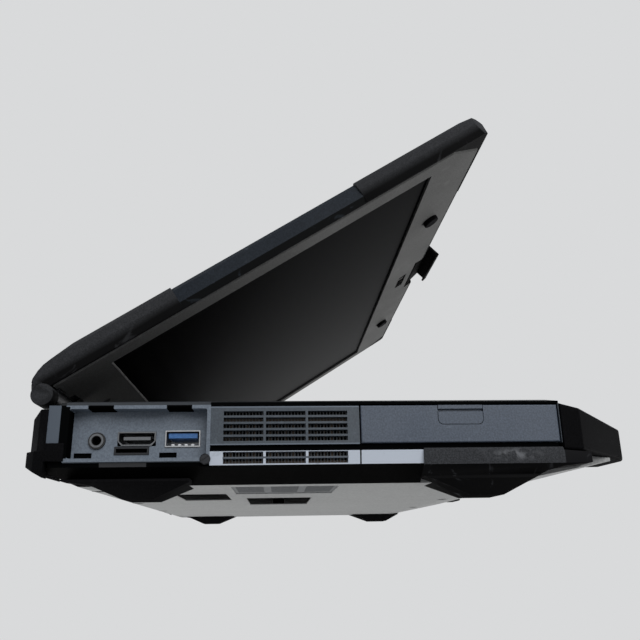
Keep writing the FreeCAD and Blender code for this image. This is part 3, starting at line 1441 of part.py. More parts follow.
def lcd_panel():
    m = GLASS_MARGIN - 0.2
    return box(-SCREEN_W / 2 - m, SCREEN_W / 2 + m, screen_y0 - m, screen_y1 + m,
               glass_z + GLASS_T, glass_z + GLASS_T + PANEL_T)


def lid_pads():
    pad = rod_z(bezel_z - LID_PAD_H, bezel_z, half - LID_PAD_IN, lid_front + LID_PAD_BACK, LID_PAD_R)
    low = [e for e in pad.Edges if e.BoundBox.ZMax < bezel_z - LID_PAD_H + 0.1]
    return both(pad.makeFillet(0.8, low))


def camera():
    lens = rod_z(bezel_z + SHUTTER_SLOT_D + 0.3, gasket_z + CAMERA_DEEP, CAMERA_X, camera_y, CAMERA_R)
    board = box(-CAMERA_BOARD_W / 2, CAMERA_BOARD_W / 2, camera_y - CAMERA_BOARD_L / 2,
                camera_y + CAMERA_BOARD_L / 2, gasket_z, gasket_z + CAMERA_BOARD_T)
    return fused([lens, board])


def camera_shutter():
    back = bezel_z + SHUTTER_SLOT_D - SHUTTER_ROOM
    plate = box(SHUTTER_X - SHUTTER_W / 2, SHUTTER_X + SHUTTER_W / 2, camera_y - SHUTTER_L / 2,
                camera_y + SHUTTER_L / 2, back - SHUTTER_T, back)
    grip = box(SHUTTER_X - SHUTTER_GRIP_W / 2, SHUTTER_X + SHUTTER_GRIP_W / 2, camera_y - SHUTTER_GRIP_L / 2,
               camera_y + SHUTTER_GRIP_L / 2, bezel_z - SHUTTER_GRIP_UP, back - SHUTTER_T / 2)
    return fused([plate, grip])


LATCH_TILT = 12.0
LATCH_DROP = 4.6
LATCH_TOOTH = 3.7


def lid_latch():
    """Latch lever with a hook, swung clear of its keeper."""
    h = LATCH_W / 2
    y_out = lid_front - LATCH_REACH
    lever = prism_x([
        (pivot_y + 2.0, pivot_z - 2.6), (pivot_y + 2.0, pivot_z + 1.8), (pivot_y - 4.5, pivot_z + 2.0),
        (y_out, pivot_z), (y_out, hinge_z - LATCH_DROP), (y_out + LATCH_TOOTH, hinge_z - LATCH_DROP),
        (y_out + LATCH_TOOTH, hinge_z - LATCH_DROP + 1.4), (y_out + 1.8, hinge_z - LATCH_DROP + 1.6),
        (y_out + 1.8, pivot_z - 2.6)], -h, h)
    lever = lever.fuse(rod_x(-h - LATCH_CLEAR - 2, h + LATCH_CLEAR + 2, pivot_y, pivot_z, LATCH_PIN_R))
    lever.rotate(vec(0, pivot_y, pivot_z), AXIS_X, -LATCH_TILT)
    return lever


def opened(shape):
    shape = shape.copy()
    shape.rotate(vec(0, hinge_y, hinge_z), AXIS_X, rest_turn)
    return shape


base_pieces = {
    "bottom_case": bottom_case, "side_skirts": side_skirts, "mid_frame": mid_frame,
    "palm_rest": palm_rest, "intake_grille": intake_grille, "dock_connector": dock_connector,
    "service_cover": service_cover, "bottom_screws": bottom_screws,
    "port_panel_left": port_panel_left, "port_panel_right": port_panel_right,
    "audio_jack": audio_jack, "video_socket": video_socket, "card_slot": card_slot,
    "usb_shells": usb_shells, "usb_tongues": usb_tongues, "rear_panel": rear_panel,
    "network_sockets": network_sockets, "serial_socket": serial_socket,
    "power_socket": power_socket, "heat_sink": heat_sink, "fan_housing": fan_housing,
    "fan_rotor": fan_rotor, "motherboard": motherboard, "processor": processor,
    "memory_modules": memory_modules, "speakers": speakers, "bay_plates": bay_plates,
    "drive_cover": drive_cover, "drive_carrier": drive_carrier, "drive_unit": drive_unit,
    "drive_button": module_button, "battery_pack": battery_pack,
    "touchpad": touchpad, "power_button": power_button,
    "keycaps": keycaps, "space_bar": space_bar, "keyboard_tray": keyboard_tray,
    "right_port_door": right_port_door, "rear_port_door": rear_port_door,
}
paired_pieces = {
    "front_corner_bumpers": corner_bumper, "front_foot_bumpers": front_foot,
    "rear_foot_bumpers": rear_foot, "rear_corner_bumpers": rear_cap,
    "hinge_brackets": hinge_bracket,
}
lid_pieces = {
    "lid_cover": lid_cover, "lid_rear_bumpers": lid_rear_bumpers,
    "lid_front_bumpers": lid_front_bumpers, "lid_gasket": lid_gasket, "bezel": bezel,
    "lid_screws": lid_screws, "screen_glass": screen_glass, "lcd_panel": lcd_panel,
    "lid_pads": lid_pads, "camera": camera, "camera_shutter": camera_shutter,
    "lid_latch": lid_latch,
}

for name, make in base_pieces.items():
    save(name, make())
for name, make in paired_pieces.items():
    save(name, both(make()))
for name, make in lid_pieces.items():
    save(name, opened(make()))
save("battery_button", mirrored(module_button()))
save("touchpad_button_right", touchpad_button(deck_z - PAD_SINK + 0.2))
save("touchpad_button_left", mirrored(touchpad_button(deck_z - PAD_SINK + 0.2)))
save("hinge_arms", opened(both(hinge_arm())))
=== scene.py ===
import json
import math

import bmesh
import bpy
from mathutils import Euler, Matrix, Vector


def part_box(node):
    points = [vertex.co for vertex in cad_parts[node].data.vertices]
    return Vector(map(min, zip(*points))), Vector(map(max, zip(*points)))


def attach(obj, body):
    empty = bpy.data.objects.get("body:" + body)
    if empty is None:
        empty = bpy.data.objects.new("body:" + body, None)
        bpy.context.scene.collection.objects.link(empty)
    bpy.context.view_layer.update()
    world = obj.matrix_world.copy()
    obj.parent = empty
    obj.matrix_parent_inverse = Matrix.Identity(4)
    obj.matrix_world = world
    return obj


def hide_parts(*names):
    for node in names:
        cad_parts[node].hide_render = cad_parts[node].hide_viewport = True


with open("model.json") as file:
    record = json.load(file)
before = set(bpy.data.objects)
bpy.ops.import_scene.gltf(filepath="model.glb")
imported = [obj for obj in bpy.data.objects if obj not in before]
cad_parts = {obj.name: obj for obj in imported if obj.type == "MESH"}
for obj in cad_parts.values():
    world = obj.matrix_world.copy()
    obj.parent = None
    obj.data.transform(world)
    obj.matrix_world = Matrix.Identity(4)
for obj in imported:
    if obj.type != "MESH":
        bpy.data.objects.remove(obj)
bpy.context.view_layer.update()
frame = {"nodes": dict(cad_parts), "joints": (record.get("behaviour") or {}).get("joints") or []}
nodes = frame["nodes"]

# Sizes and places are in millimetres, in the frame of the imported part: X runs from left to right, Y from the
# front to the hinge and Z up. Only the floor and the lamps are in metres.
MM = 0.001


def in_mm(place):
    """A place that the frame gives in metres, to the nearest micrometre."""
    return [round(value / MM, 3) for value in place]


def corners(node):
    """The lowest and the highest corner of a node."""
    return [in_mm(corner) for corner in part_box(node)]


def middle_of(node):
    """The middle of a node's box."""
    return [(low + high) / 2 for low, high in zip(*corners(node))]


# Camera, at the left of the computer, a little below its feet and looking up. Its turn is in degrees.
CAMERA_PLACE = (-443.76, 26.68, -17.72)
CAMERA_TURN = (107.478, 0.966, -93.397)
CAMERA_LENS = 38.75
CAMERA_SHIFT = (0.0018, 0.0114)
CAMERA_NEAR = 10.0

# Lid: how far it stands open, and the way that its inner face then looks.
lid_hinge = next(joint for joint in frame["joints"] if joint["name"] == "lid_hinge")
HINGE = in_mm(lid_hinge["pos_m"])
LID_OPEN = -math.radians(lid_hinge["range_deg"][0])
LID_INWARD = (0.0, -math.sin(LID_OPEN), -math.cos(LID_OPEN))

# Stretches of the left side. Those along Y run from front to rear, those along Z from low to high. The vent
# ends where the port bay begins.
BAY_FRONT, BAY_REAR = 52.7, 109.0
BAY_Y = (BAY_FRONT, BAY_REAR)
SIDE_Y = (-125.0, 125.0)
GROOVE_Z = (17.6, 20.0)
UPPER_Z = (20.0, 36.1)

# Strip under the groove, painted near white as a highlight, with the bar between the two rows of the low vent.
STRIP_Y = (-32.0, BAY_FRONT)
STRIP_Z = (11.9, 18.2)
STRIP_FOOT_Z = (11.9, 12.3)
STRIP_SEAM_Y = (-7.1, -6.5)
LOW_BAR_Y = (-1.9, 47.6)
LOW_BAR_Z = (14.7, 15.5)

# Rims of the upper vent, painted pale as highlights, and the gap over it, painted black as shade.
RIM_Y = (-6.5, BAY_FRONT)
RIM_LOW_Z = (20.0, 20.5)
RIM_TOP_Z = (34.8, 35.3)
TOP_GAP_Y = (-6.9, BAY_FRONT)
TOP_GAP_Z = (35.3, 36.1)

# Ledge under the port bay, whose middle is worn, and the frame behind the bay.
LEDGE_WORN_Y = (77.0, 95.0)
LEDGE_FRONT_Y = (BAY_FRONT, LEDGE_WORN_Y[0])
LEDGE_REAR_Y = (LEDGE_WORN_Y[1], BAY_REAR)
LEDGE_Z = (11.9, 13.6)
REAR_SEAM_Y = (BAY_REAR, 110.9)
REAR_POST_Y = (110.9, 119.0)
REAR_LOW_Y = (BAY_REAR, 120.0)

# Slots in the port panel for the hooks of a door, and the seam at its rear end, both painted black as shade
# inside.
HOOK_TOP_YS = ((90.6, 100.6), (60.0, 70.0))
HOOK_TOP_Z = (34.4, 36.2)
HOOK_LOW_YS = ((99.5, 106.4), (66.2, 73.1))
HOOK_LOW_Z = (15.7, 18.1)
PANEL_SEAM_Y = (107.5, 109.1)
PANEL_SEAM_Z = (15.3, 35.5)

# Edge of the deck over the bay, painted grey as a highlight, and the band under the rest of that edge, painted
# black as shade in the seam.
DECK_EDGE_Z = (35.9, 38.4)
SEAM_SHADE_Y = (-125.0, BAY_FRONT)
SEAM_SHADE_Z = (35.9, 37.0)

# Front foot: its dark sole and nose, and the spot that takes the knocks.
FOOT_Y = (-102.0, -30.0)
FOOT_SOLE_Z = (-1.0, 11.7)
FOOT_NOSE_Y = (-102.0, -89.0)
FOOT_FACE_Z = (11.7, 18.3)
KNOCK_MIDDLE = (-171.5, -69.0, 15.2)
KNOCK_REACH = (40.0, 12.0, 2.9)

# Marks on the surfaces: how far apart rub marks, scrapes, the etch of the glass and the board's tracks lie.
RUB_SIZE = 9.0
SCRAPE_SIZE = 3.0
ETCH_SIZE = 0.4
TRACK_PITCH = 8.0

# How far the roughness of a finish strays, in patches and along brushed lines, and how many times longer
# than wide those lines are.
PATCH_STRAY = 0.07
LINE_STRAY = 0.08
LINE_STRETCH = 30

# Black painted as the shade in recesses and seams.
SHADE_BLACK = "#0A0B0C"

# Sockets of a mix of colours and of a mix of numbers: the share of the second, the two, and the result.
SHARE = 0
COLOUR_A, COLOUR_B, COLOUR_OUT = 6, 7, 2
NUMBER_A, NUMBER_B, NUMBER_OUT = 2, 3, 0


def linear(code):
    """The linear colour of an sRGB hex value."""
    parts = [int(code[i:i + 2], 16) / 255 for i in (1, 3, 5)]
    parts = [c / 12.92 if c <= 0.04045 else ((c + 0.055) / 1.055) ** 2.4 for c in parts]
    return (*parts, 1.0)


def add(tree, kind, settings=None, values=None, links=None):
    """A node with its settings, its socket values and what feeds its sockets."""
    node = tree.nodes.new(kind)
    for name, value in (settings or {}).items():
        setattr(node, name, value)
    for socket, value in (values or {}).items():
        node.inputs[socket].default_value = value
    for socket, source in (links or {}).items():
        tree.links.new(source, node.inputs[socket])
    return node


def new_finish(name):
    """A material with nothing in its node tree yet, and that tree."""
    made = bpy.data.materials.new(name)
    made.use_nodes = True
    made.node_tree.nodes.clear()
    return made, made.node_tree


def per(size):
    """The scale of a pattern whose marks are that many millimetres apart."""
    return 1 / (size * MM)


def between(tree, value, low, high):
    """One where the value lies between two places in millimetres, and nothing elsewhere."""
    above = add(tree, "ShaderNodeMath", {"operation": "GREATER_THAN"}, {1: low * MM}, {0: value})
    under = add(tree, "ShaderNodeMath", {"operation": "LESS_THAN"}, {1: high * MM}, {0: value})
    both = add(tree, "ShaderNodeMath", {"operation": "MULTIPLY"},
               links={0: above.outputs["Value"], 1: under.outputs["Value"]})
    return both.outputs["Value"]


def within(tree, place, along, up):
    """One inside a stretch along the side and up it, and nothing elsewhere."""
    at = add(tree, "ShaderNodeSeparateXYZ", links={"Vector": place})
    inside = add(tree, "ShaderNodeMath", {"operation": "MULTIPLY"},
                 links={0: between(tree, at.outputs["Y"], *along), 1: between(tree, at.outputs["Z"], *up)})
    return inside.outputs["Value"]


def banded(tree, place, colour, bands):
    """The colour with stretches of the side in other colours. Each band is (colour, along, up)."""
    for coat, along, up in bands:
        colour = add(tree, "ShaderNodeMix", {"data_type": "RGBA"}, {COLOUR_B: linear(coat)},
                     {SHARE: within(tree, place, along, up), COLOUR_A: colour}).outputs[COLOUR_OUT]
    return colour


def shade_inward_faces(tree, colour, inward_shade):
    """The colour with a darker one, painted as shade, on faces that look towards the inside of the lid."""
    faces = add(tree, "ShaderNodeTexCoord").outputs["Normal"]
    inward = add(tree, "ShaderNodeVectorMath", {"operation": "DOT_PRODUCT"}, {1: LID_INWARD}, {0: faces})
    share = add(tree, "ShaderNodeMapRange", values={"From Min": 0.02, "From Max": 0.2},
                links={"Value": inward.outputs["Value"]})
    return add(tree, "ShaderNodeMix", {"data_type": "RGBA"}, {COLOUR_B: linear(inward_shade)},
               {SHARE: share.outputs["Result"], COLOUR_A: colour}).outputs[COLOUR_OUT]


def scuffed(tree, place, colour, scuff):
    """The colour with pale rub marks over it."""
    rub = add(tree, "ShaderNodeTexNoise", values={"Scale": per(RUB_SIZE), "Detail": 6.0, "Distortion": 1.2},
              links={"Vector": place})
    worn = add(tree, "ShaderNodeMapRange", values={"From Min": 0.62, "From Max": 0.78, "To Max": 0.6},
               links={"Value": rub.outputs["Fac"]})
    return add(tree, "ShaderNodeMix", {"data_type": "RGBA"}, {COLOUR_B: linear(scuff)},
               {SHARE: worn.outputs["Result"], COLOUR_A: colour}).outputs[COLOUR_OUT]


def knocked(tree, place, colour, knock):
    """The colour with one spot scraped pale in streaks, which die out at the spot's reach along each axis."""
    away = add(tree, "ShaderNodeVectorMath", {"operation": "SUBTRACT"}, {1: Vector(KNOCK_MIDDLE) * MM},
               {0: place})
    flat = add(tree, "ShaderNodeVectorMath", {"operation": "MULTIPLY"}, {1: [per(r) for r in KNOCK_REACH]},
               {0: away.outputs["Vector"]})
    reach = add(tree, "ShaderNodeVectorMath", {"operation": "LENGTH"}, links={0: flat.outputs["Vector"]})
    near = add(tree, "ShaderNodeMapRange", values={"From Min": 1.0, "From Max": 0.3},
               links={"Value": reach.outputs["Value"]})
    streaks = add(tree, "ShaderNodeTexNoise",
                  values={"Scale": per(SCRAPE_SIZE), "Detail": 6.0, "Distortion": 0.8},
                  links={"Vector": place})
    torn = add(tree, "ShaderNodeMapRange", values={"From Min": 0.45, "From Max": 0.62},
               links={"Value": streaks.outputs["Fac"]})
    scraped = add(tree, "ShaderNodeMath", {"operation": "MULTIPLY"},
                  links={0: near.outputs["Result"], 1: torn.outputs["Result"]})
    return add(tree, "ShaderNodeMix", {"data_type": "RGBA"}, {COLOUR_B: linear(knock)},
               {SHARE: scraped.outputs["Value"], COLOUR_A: colour}).outputs[COLOUR_OUT]


def recessed(tree, place, colour, shine, gaps):
    """The colour with its recesses painted black as shade, and the mirror strength, which is nothing inside
    them.
    """
    mirror = None
    for along, up in gaps:
        inside = within(tree, place, along, up)
        colour = add(tree, "ShaderNodeMix", {"data_type": "RGBA"}, {COLOUR_B: linear(SHADE_BLACK)},
                     {SHARE: inside, COLOUR_A: colour}).outputs[COLOUR_OUT]
        before = {NUMBER_A: mirror} if mirror else {}
        mirror = add(tree, "ShaderNodeMix", values={NUMBER_A: shine, NUMBER_B: 0.0},
                     links={SHARE: inside, **before}).outputs[NUMBER_OUT]
    return colour, mirror


def grained(name, dark, light, grit, rough, depth, scuff=None, shine=0.5, bands=(), gaps=(), inward_shade=None,
            knock=None, patch=35.0):
    """A moulded, cast or coated surface: fine grit in colour and relief, slow patches, and pale scuffs.

    The grit of the real surfaces is a few tenths of a millimetre, too fine to show, so it is drawn coarser.
    Bands are stretches in another colour, and gaps are stretches painted black and matt as the shade in
    recesses and seams. The inward colour is painted shade on faces that look towards the inside of the lid,
    and knock is the colour of the spot that is scraped pale.
    """
    made, tree = new_finish(name)
    place = add(tree, "ShaderNodeTexCoord").outputs["Object"]
    fine = add(tree, "ShaderNodeTexNoise", values={"Scale": per(grit), "Detail": 2.0, "Roughness": 0.6},
               links={"Vector": place})
    slow = add(tree, "ShaderNodeTexNoise", values={"Scale": per(patch), "Detail": 3.0},
               links={"Vector": place})
    speck = add(tree, "ShaderNodeMapRange", values={"From Min": 0.35, "From Max": 0.68},
                links={"Value": fine.outputs["Fac"]})
    colour = add(tree, "ShaderNodeMix", {"data_type": "RGBA"},
                 {COLOUR_A: linear(dark), COLOUR_B: linear(light)},
                 {SHARE: speck.outputs["Result"]}).outputs[COLOUR_OUT]
    colour = banded(tree, place, colour, bands)
    if inward_shade:
        colour = shade_inward_faces(tree, colour, inward_shade)
    if scuff:
        colour = scuffed(tree, place, colour, scuff)
    if knock:
        colour = knocked(tree, place, colour, knock)
    colour, mirror = recessed(tree, place, colour, shine, gaps)
    gloss = add(tree, "ShaderNodeMapRange",
                values={"From Min": 0.3, "From Max": 0.7,
                        "To Min": rough - PATCH_STRAY, "To Max": rough + PATCH_STRAY},
                links={"Value": slow.outputs["Fac"]})
    relief = add(tree, "ShaderNodeBump", values={"Strength": 0.5, "Distance": depth * MM},
                 links={"Height": fine.outputs["Fac"]})
    feeds = {"Base Color": colour, "Roughness": gloss.outputs["Result"], "Normal": relief.outputs["Normal"]}
    if mirror:
        feeds["Specular IOR Level"] = mirror
    skin = add(tree, "ShaderNodeBsdfPrincipled", values={"Specular IOR Level": shine}, links=feeds)
    add(tree, "ShaderNodeOutputMaterial", links={"Surface": skin.outputs["BSDF"]})
    return made


def brushed(name, dark, light, line, rough, along):
    """Drawn or brushed metal: lines along one axis, coarser here than on the real metal so that they show."""
    made, tree = new_finish(name)
    place = add(tree, "ShaderNodeTexCoord").outputs["Object"]
    stretch = [per(line)] * 3
    stretch["XYZ".index(along)] = per(line * LINE_STRETCH)
    turned = add(tree, "ShaderNodeMapping", values={"Scale": stretch}, links={"Vector": place})
    lines = add(tree, "ShaderNodeTexNoise", values={"Scale": 1.0, "Detail": 3.0},
                links={"Vector": turned.outputs["Vector"]})
    colour = add(tree, "ShaderNodeMix", {"data_type": "RGBA"},
                 {COLOUR_A: linear(dark), COLOUR_B: linear(light)},
                 {SHARE: lines.outputs["Fac"]}).outputs[COLOUR_OUT]
    gloss = add(tree, "ShaderNodeMapRange",
                values={"To Min": rough - LINE_STRAY, "To Max": rough + LINE_STRAY},
                links={"Value": lines.outputs["Fac"]})
    skin = add(tree, "ShaderNodeBsdfPrincipled", values={"Metallic": 1.0},
               links={"Base Color": colour, "Roughness": gloss.outputs["Result"]})
    add(tree, "ShaderNodeOutputMaterial", links={"Surface": skin.outputs["BSDF"]})
    return made


def etched_glass():
    """Coated anti-glare glass over an unlit panel: near black, with a weak mirror that a fine etch blurs.

    The etch is drawn coarser than the real one.
    """
    made, tree = new_finish("etched_screen_glass")
    place = add(tree, "ShaderNodeTexCoord").outputs["Object"]
    etch = add(tree, "ShaderNodeTexNoise", values={"Scale": per(ETCH_SIZE), "Detail": 1.0},
               links={"Vector": place})
    gloss = add(tree, "ShaderNodeMapRange", values={"To Min": 0.2, "To Max": 0.28},
                links={"Value": etch.outputs["Fac"]})
    skin = add(tree, "ShaderNodeBsdfPrincipled",
               values={"Base Color": linear("#020203"), "IOR": 1.5, "Specular IOR Level": 0.004},
               links={"Roughness": gloss.outputs["Result"]})
    add(tree, "ShaderNodeOutputMaterial", links={"Surface": skin.outputs["BSDF"]})
    return made


def circuit_board():
    """Green solder mask over copper tracks: a glossy lacquer with a faint grid of paler lines."""
    made, tree = new_finish("solder_mask_board")
    place = add(tree, "ShaderNodeTexCoord").outputs["Object"]
    tracks = add(tree, "ShaderNodeTexBrick", values={
        "Color1": linear("#0E3B22"), "Color2": linear("#12492A"), "Mortar": linear("#2C6B43"),
        "Scale": per(TRACK_PITCH), "Mortar Size": 0.03}, links={"Vector": place})
    skin = add(tree, "ShaderNodeBsdfPrincipled", values={"Roughness": 0.35},
               links={"Base Color": tracks.outputs["Color"]})
    add(tree, "ShaderNodeOutputMaterial", links={"Surface": skin.outputs["BSDF"]})
    return made


# Powder coat on cast magnesium: a cool slate grey whose grit sparkles a little in the light.
slate_paint = grained("slate_powder_coat", "#424B58", "#566171", grit=0.7, rough=0.5, depth=0.05,
                      scuff="#8A95A3")
# The same coat on the port panels, painted paler as light, to offset the shade of their recess. The hook slots
# and the seam at the rear end are painted black as shade.
panel_paint = grained("panel_coat_painted_light", "#66707D", "#7B8692", grit=0.7, rough=0.5, depth=0.05,
                      gaps=[(along, HOOK_TOP_Z) for along in HOOK_TOP_YS]
                      + [(along, HOOK_LOW_Z) for along in HOOK_LOW_YS]
                      + [(PANEL_SEAM_Y, PANEL_SEAM_Z)])
# The same coat on the frame, where the strip with the low vent is painted near white as a highlight and the
# rims of the upper vent are painted pale as highlights. The groove along the frame and its seams are painted
# black as shade, and the ledge under the port bay is black, with a worn grey stretch on that ledge.
frame_paint = grained("frame_coat_painted_light_and_shade", "#373F49", "#465059", grit=0.7, rough=0.5, depth=0.05,
                      scuff="#707A86",
                      bands=(("#DCE5F2", STRIP_Y, STRIP_Z), ("#666D76", LOW_BAR_Y, LOW_BAR_Z),
                             ("#6A7582", RIM_Y, RIM_LOW_Z), ("#6A7582", RIM_Y, RIM_TOP_Z),
                             ("#525C68", REAR_POST_Y, UPPER_Z), ("#2A2B2E", LEDGE_WORN_Y, LEDGE_Z)),
                      gaps=((SIDE_Y, GROOVE_Z), (LEDGE_FRONT_Y, LEDGE_Z), (LEDGE_REAR_Y, LEDGE_Z),
                            (STRIP_SEAM_Y, STRIP_Z), (REAR_SEAM_Y, UPPER_Z), (TOP_GAP_Y, TOP_GAP_Z),
                            (REAR_LOW_Y, STRIP_Z), (STRIP_Y, STRIP_FOOT_Z)))
# The slate coat on the lid, painted darker as shade, and painted almost black as shade on faces that look
# towards the inside of the lid.
lid_paint = grained("lid_coat_painted_shade", "#1E2329", "#2A3038", grit=0.7, rough=0.5, depth=0.05,
                    scuff="#4A525A", shine=0.08, inward_shade="#08090A")
# Cast magnesium of the underside, painted pale as light from below: matt and slightly mottled.
pale_case = grained("cast_magnesium_painted_light", "#A3A4A4", "#B8B9B8", grit=1.2, rough=0.55, depth=0.04,
                    scuff="#C8C9C8")
# Moulded rubber: nearly black and matt, with a fine spark-eroded grain and faint grey rub marks.
bumper_rubber = grained("moulded_rubber", "#0B0B0C", "#131315", grit=0.6, rough=0.75, depth=0.07,
                        scuff="#1D1D1F", shine=0.03)
# The same rubber on the front feet, grey above a near black sole, and scratched on the side that takes the
# knocks.
worn_rubber = grained("worn_moulded_rubber", "#363739", "#4C4E52", grit=0.6, rough=0.72, depth=0.07,
                      scuff="#5E6064", shine=0.06, knock="#76787C",
                      bands=(("#0A0A0B", FOOT_Y, FOOT_SOLE_Z), ("#1B1B1D", FOOT_NOSE_Y, FOOT_FACE_Z)))
# Softer lid bumpers, painted grey on top as light and almost black as shade on faces towards the inside of the
# lid.
lid_rubber = grained("rubber_painted_light_and_shade", "#313234", "#404144", grit=0.6, rough=0.7, depth=0.07,
                     scuff="#4E4F52", shine=0.06, inward_shade="#09090A")
# Glass-filled nylon, black and matt.
skirt_nylon = grained("black_filled_nylon", "#050505", "#090909", grit=0.8, rough=0.7, depth=0.04, shine=0.03)
# Textured ABS of the palm rest: charcoal with a fine leather-like grain, and a band along its edge painted
# black as shade in the seam below. The edge over the port bay is painted grey as a highlight.
deck_plastic = grained("charcoal_textured_abs", "#1F2123", "#2C2E31", grit=0.8, rough=0.6, depth=0.06,
                       scuff="#3E4145", shine=0.2, bands=(("#43474C", BAY_Y, DECK_EDGE_Z),),
                       gaps=((SEAM_SHADE_Y, SEAM_SHADE_Z),))
# Textured ABS of the screen surround: neutral grey, painted paler than its dark plastic as light from below.
bezel_plastic = grained("textured_abs_painted_light", "#5A5A59", "#6B6B6A", grit=0.7, rough=0.5, depth=0.05,
                        scuff="#7A7A79", shine=0.06)
# The polished edge of that surround beside the glass, painted pale as a highlight.
lip_plastic = grained("polished_abs_painted_highlight", "#A2A2A0", "#B4B4B2", grit=0.7, rough=0.3, depth=0.02)
# Moulded ABS of the keys: satin black, polished a little by fingers.
key_plastic = grained("satin_key_abs", "#18191B", "#232427", grit=0.7, rough=0.45, depth=0.03)
# Moulded nylon of the connector bodies: black with a soft gloss.
connector_black = grained("black_connector_nylon", "#0B0B0C", "#141415", grit=0.5, rough=0.45, depth=0.03)
# The blue nylon tongue of a fast data socket.
tongue_blue = grained("blue_connector_nylon", "#2C5F9E", "#4A7DB8", grit=0.5, rough=0.4, depth=0.03)
# Moulded ABS of the intake louvres: mid grey and matt.
grille_plastic = grained("grey_louvre_abs", "#7C7E80", "#8C8E90", grit=0.7, rough=0.55, depth=0.04)
# White print on the keys.
legend_ink = grained("white_key_print", "#C4C6C8", "#DADCDD", grit=0.4, rough=0.5, depth=0.01)
# Smoked acrylic of the unlit lights: grey and glossy.
lens_plastic = grained("smoked_lens_acrylic", "#5E666B", "#71797E", grit=0.6, rough=0.2, depth=0.01)
# Tin on the spring contacts and the power pin, painted nearly white and even as a highlight, for the glint of
# the metal in the shade of its socket.
contact_metal = grained("tin_contacts_painted_highlight", "#D6D8DA", "#F0F2F4", grit=0.3, rough=0.35, depth=0.01)
# Tin-plated steel of the socket shells: bright, with fine lines into the socket.
shell_tin = brushed("tin_plated_steel", "#8F9194", "#B9BBBE", line=0.25, rough=0.32, along="X")
# Black oxide on drawn steel: the dark sheen of the hinges, the screws and the card slot.
hinge_steel = brushed("black_oxide_steel", "#2A2B2D", "#3D3E41", line=0.3, rough=0.4, along="X")
# Tarnished copper of the fins: brown and dull.
fin_metal = brushed("tarnished_copper", "#2E2823", "#4A4037", line=0.3, rough=0.45, along="Z")
# Drawn steel of the wires behind the vent: dark grey.
wire_metal = brushed("drawn_dark_steel", "#3A3B3D", "#525457", line=0.2, rough=0.45, along="Z")
# Rolled aluminium of the drive and its bay: pale, with lines along the roll.
drive_metal = brushed("rolled_aluminium", "#A0A2A5", "#BFC1C4", line=0.3, rough=0.35, along="Y")
# Dull nickel round the audio jack and on the video socket.
jack_metal = brushed("dull_nickel", "#5C5E61", "#77797C", line=0.2, rough=0.4, along="X")
screen_coating = etched_glass()
board_lacquer = circuit_board()

finishes = [
    (slate_paint, ["drive_cover", "drive_button", "battery_pack", "battery_button", "right_port_door",
                   "rear_port_door"]),
    (panel_paint, ["port_panel_left", "port_panel_right", "rear_panel"]),
    (frame_paint, ["mid_frame"]),
    (lid_paint, ["lid_cover"]),
    (pale_case, ["bottom_case"]),
    (bumper_rubber, ["front_corner_bumpers", "rear_foot_bumpers", "rear_corner_bumpers", "lid_pads"]),
    (worn_rubber, ["front_foot_bumpers"]),
    (lid_rubber, ["lid_rear_bumpers", "lid_front_bumpers"]),
    (skirt_nylon, ["side_skirts", "lid_gasket", "drive_carrier", "camera_shutter", "lid_latch",
                   "dock_connector", "service_cover"]),
    (deck_plastic, ["palm_rest", "touchpad", "keyboard_tray"]),
    (bezel_plastic, ["bezel"]),
    (key_plastic, ["keycaps", "space_bar", "touchpad_button_left", "touchpad_button_right",
                   "power_button"]),
    (connector_black, ["audio_jack", "power_socket", "fan_housing", "fan_rotor", "speakers", "camera",
                       "lcd_panel"]),
    (tongue_blue, ["usb_tongues"]),
    (grille_plastic, ["intake_grille"]),
    (shell_tin, ["usb_shells", "network_sockets", "serial_socket"]),
    (jack_metal, ["video_socket"]),
    (hinge_steel, ["hinge_arms", "hinge_brackets", "bottom_screws", "lid_screws", "card_slot"]),
    (fin_metal, ["heat_sink", "processor"]),
    (drive_metal, ["drive_unit", "bay_plates"]),
    (screen_coating, ["screen_glass"]),
    (board_lacquer, ["motherboard", "memory_modules"]),
]
for finish, names in finishes:
    for name in names:
        nodes[name].data.materials.clear()
        nodes[name].data.materials.append(finish)

# Points of a mesh that lie closer than this are one point.
MERGE = 0.002


def link(name, mesh, body):
    """The finished mesh as a piece that moves with a body."""
    made = bpy.data.objects.new(name, mesh)
    bpy.context.scene.collection.objects.link(made)
    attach(made, body)
    return made


def piece(name, body, finish, shape):
    """A piece from a shape drawn in millimetres."""
    bmesh.ops.scale(shape, vec=(MM, MM, MM), verts=shape.verts)
    mesh = bpy.data.meshes.new(name)
    shape.to_mesh(mesh)
    shape.free()
    mesh.materials.append(finish)
    link(name, mesh, body)


def block(shape, low, high, edge=0.0):
    """A block between two corners, with its edges softened."""
    middle = Vector([(a + b) / 2 for a, b in zip(low, high)])
    size = Vector([b - a for a, b in zip(low, high)])
    made = bmesh.ops.create_cube(shape, size=1.0, matrix=Matrix.LocRotScale(middle, None, size))
    if edge:
        edges = list({e for v in made["verts"] for e in v.link_edges})
        bmesh.ops.bevel(shape, geom=edges, offset=edge, affect="EDGES", segments=2, profile=0.5,
                        material=-1)


# Rounded edges of the mouldings: how far each is rounded and in how many steps. A face is flat within the
# first angle, an edge is rounded from the second, and it shows as an edge from the third.
LID_BUMPER_ROUND = (1.8, 4)
BASE_BUMPER_ROUND = (0.9, 3)
LATCH_ROUND = (0.5, 3)
FLAT_ANGLE = math.radians(1)
ROUND_ANGLE = math.radians(25)
SHARP_ANGLE = math.radians(35)


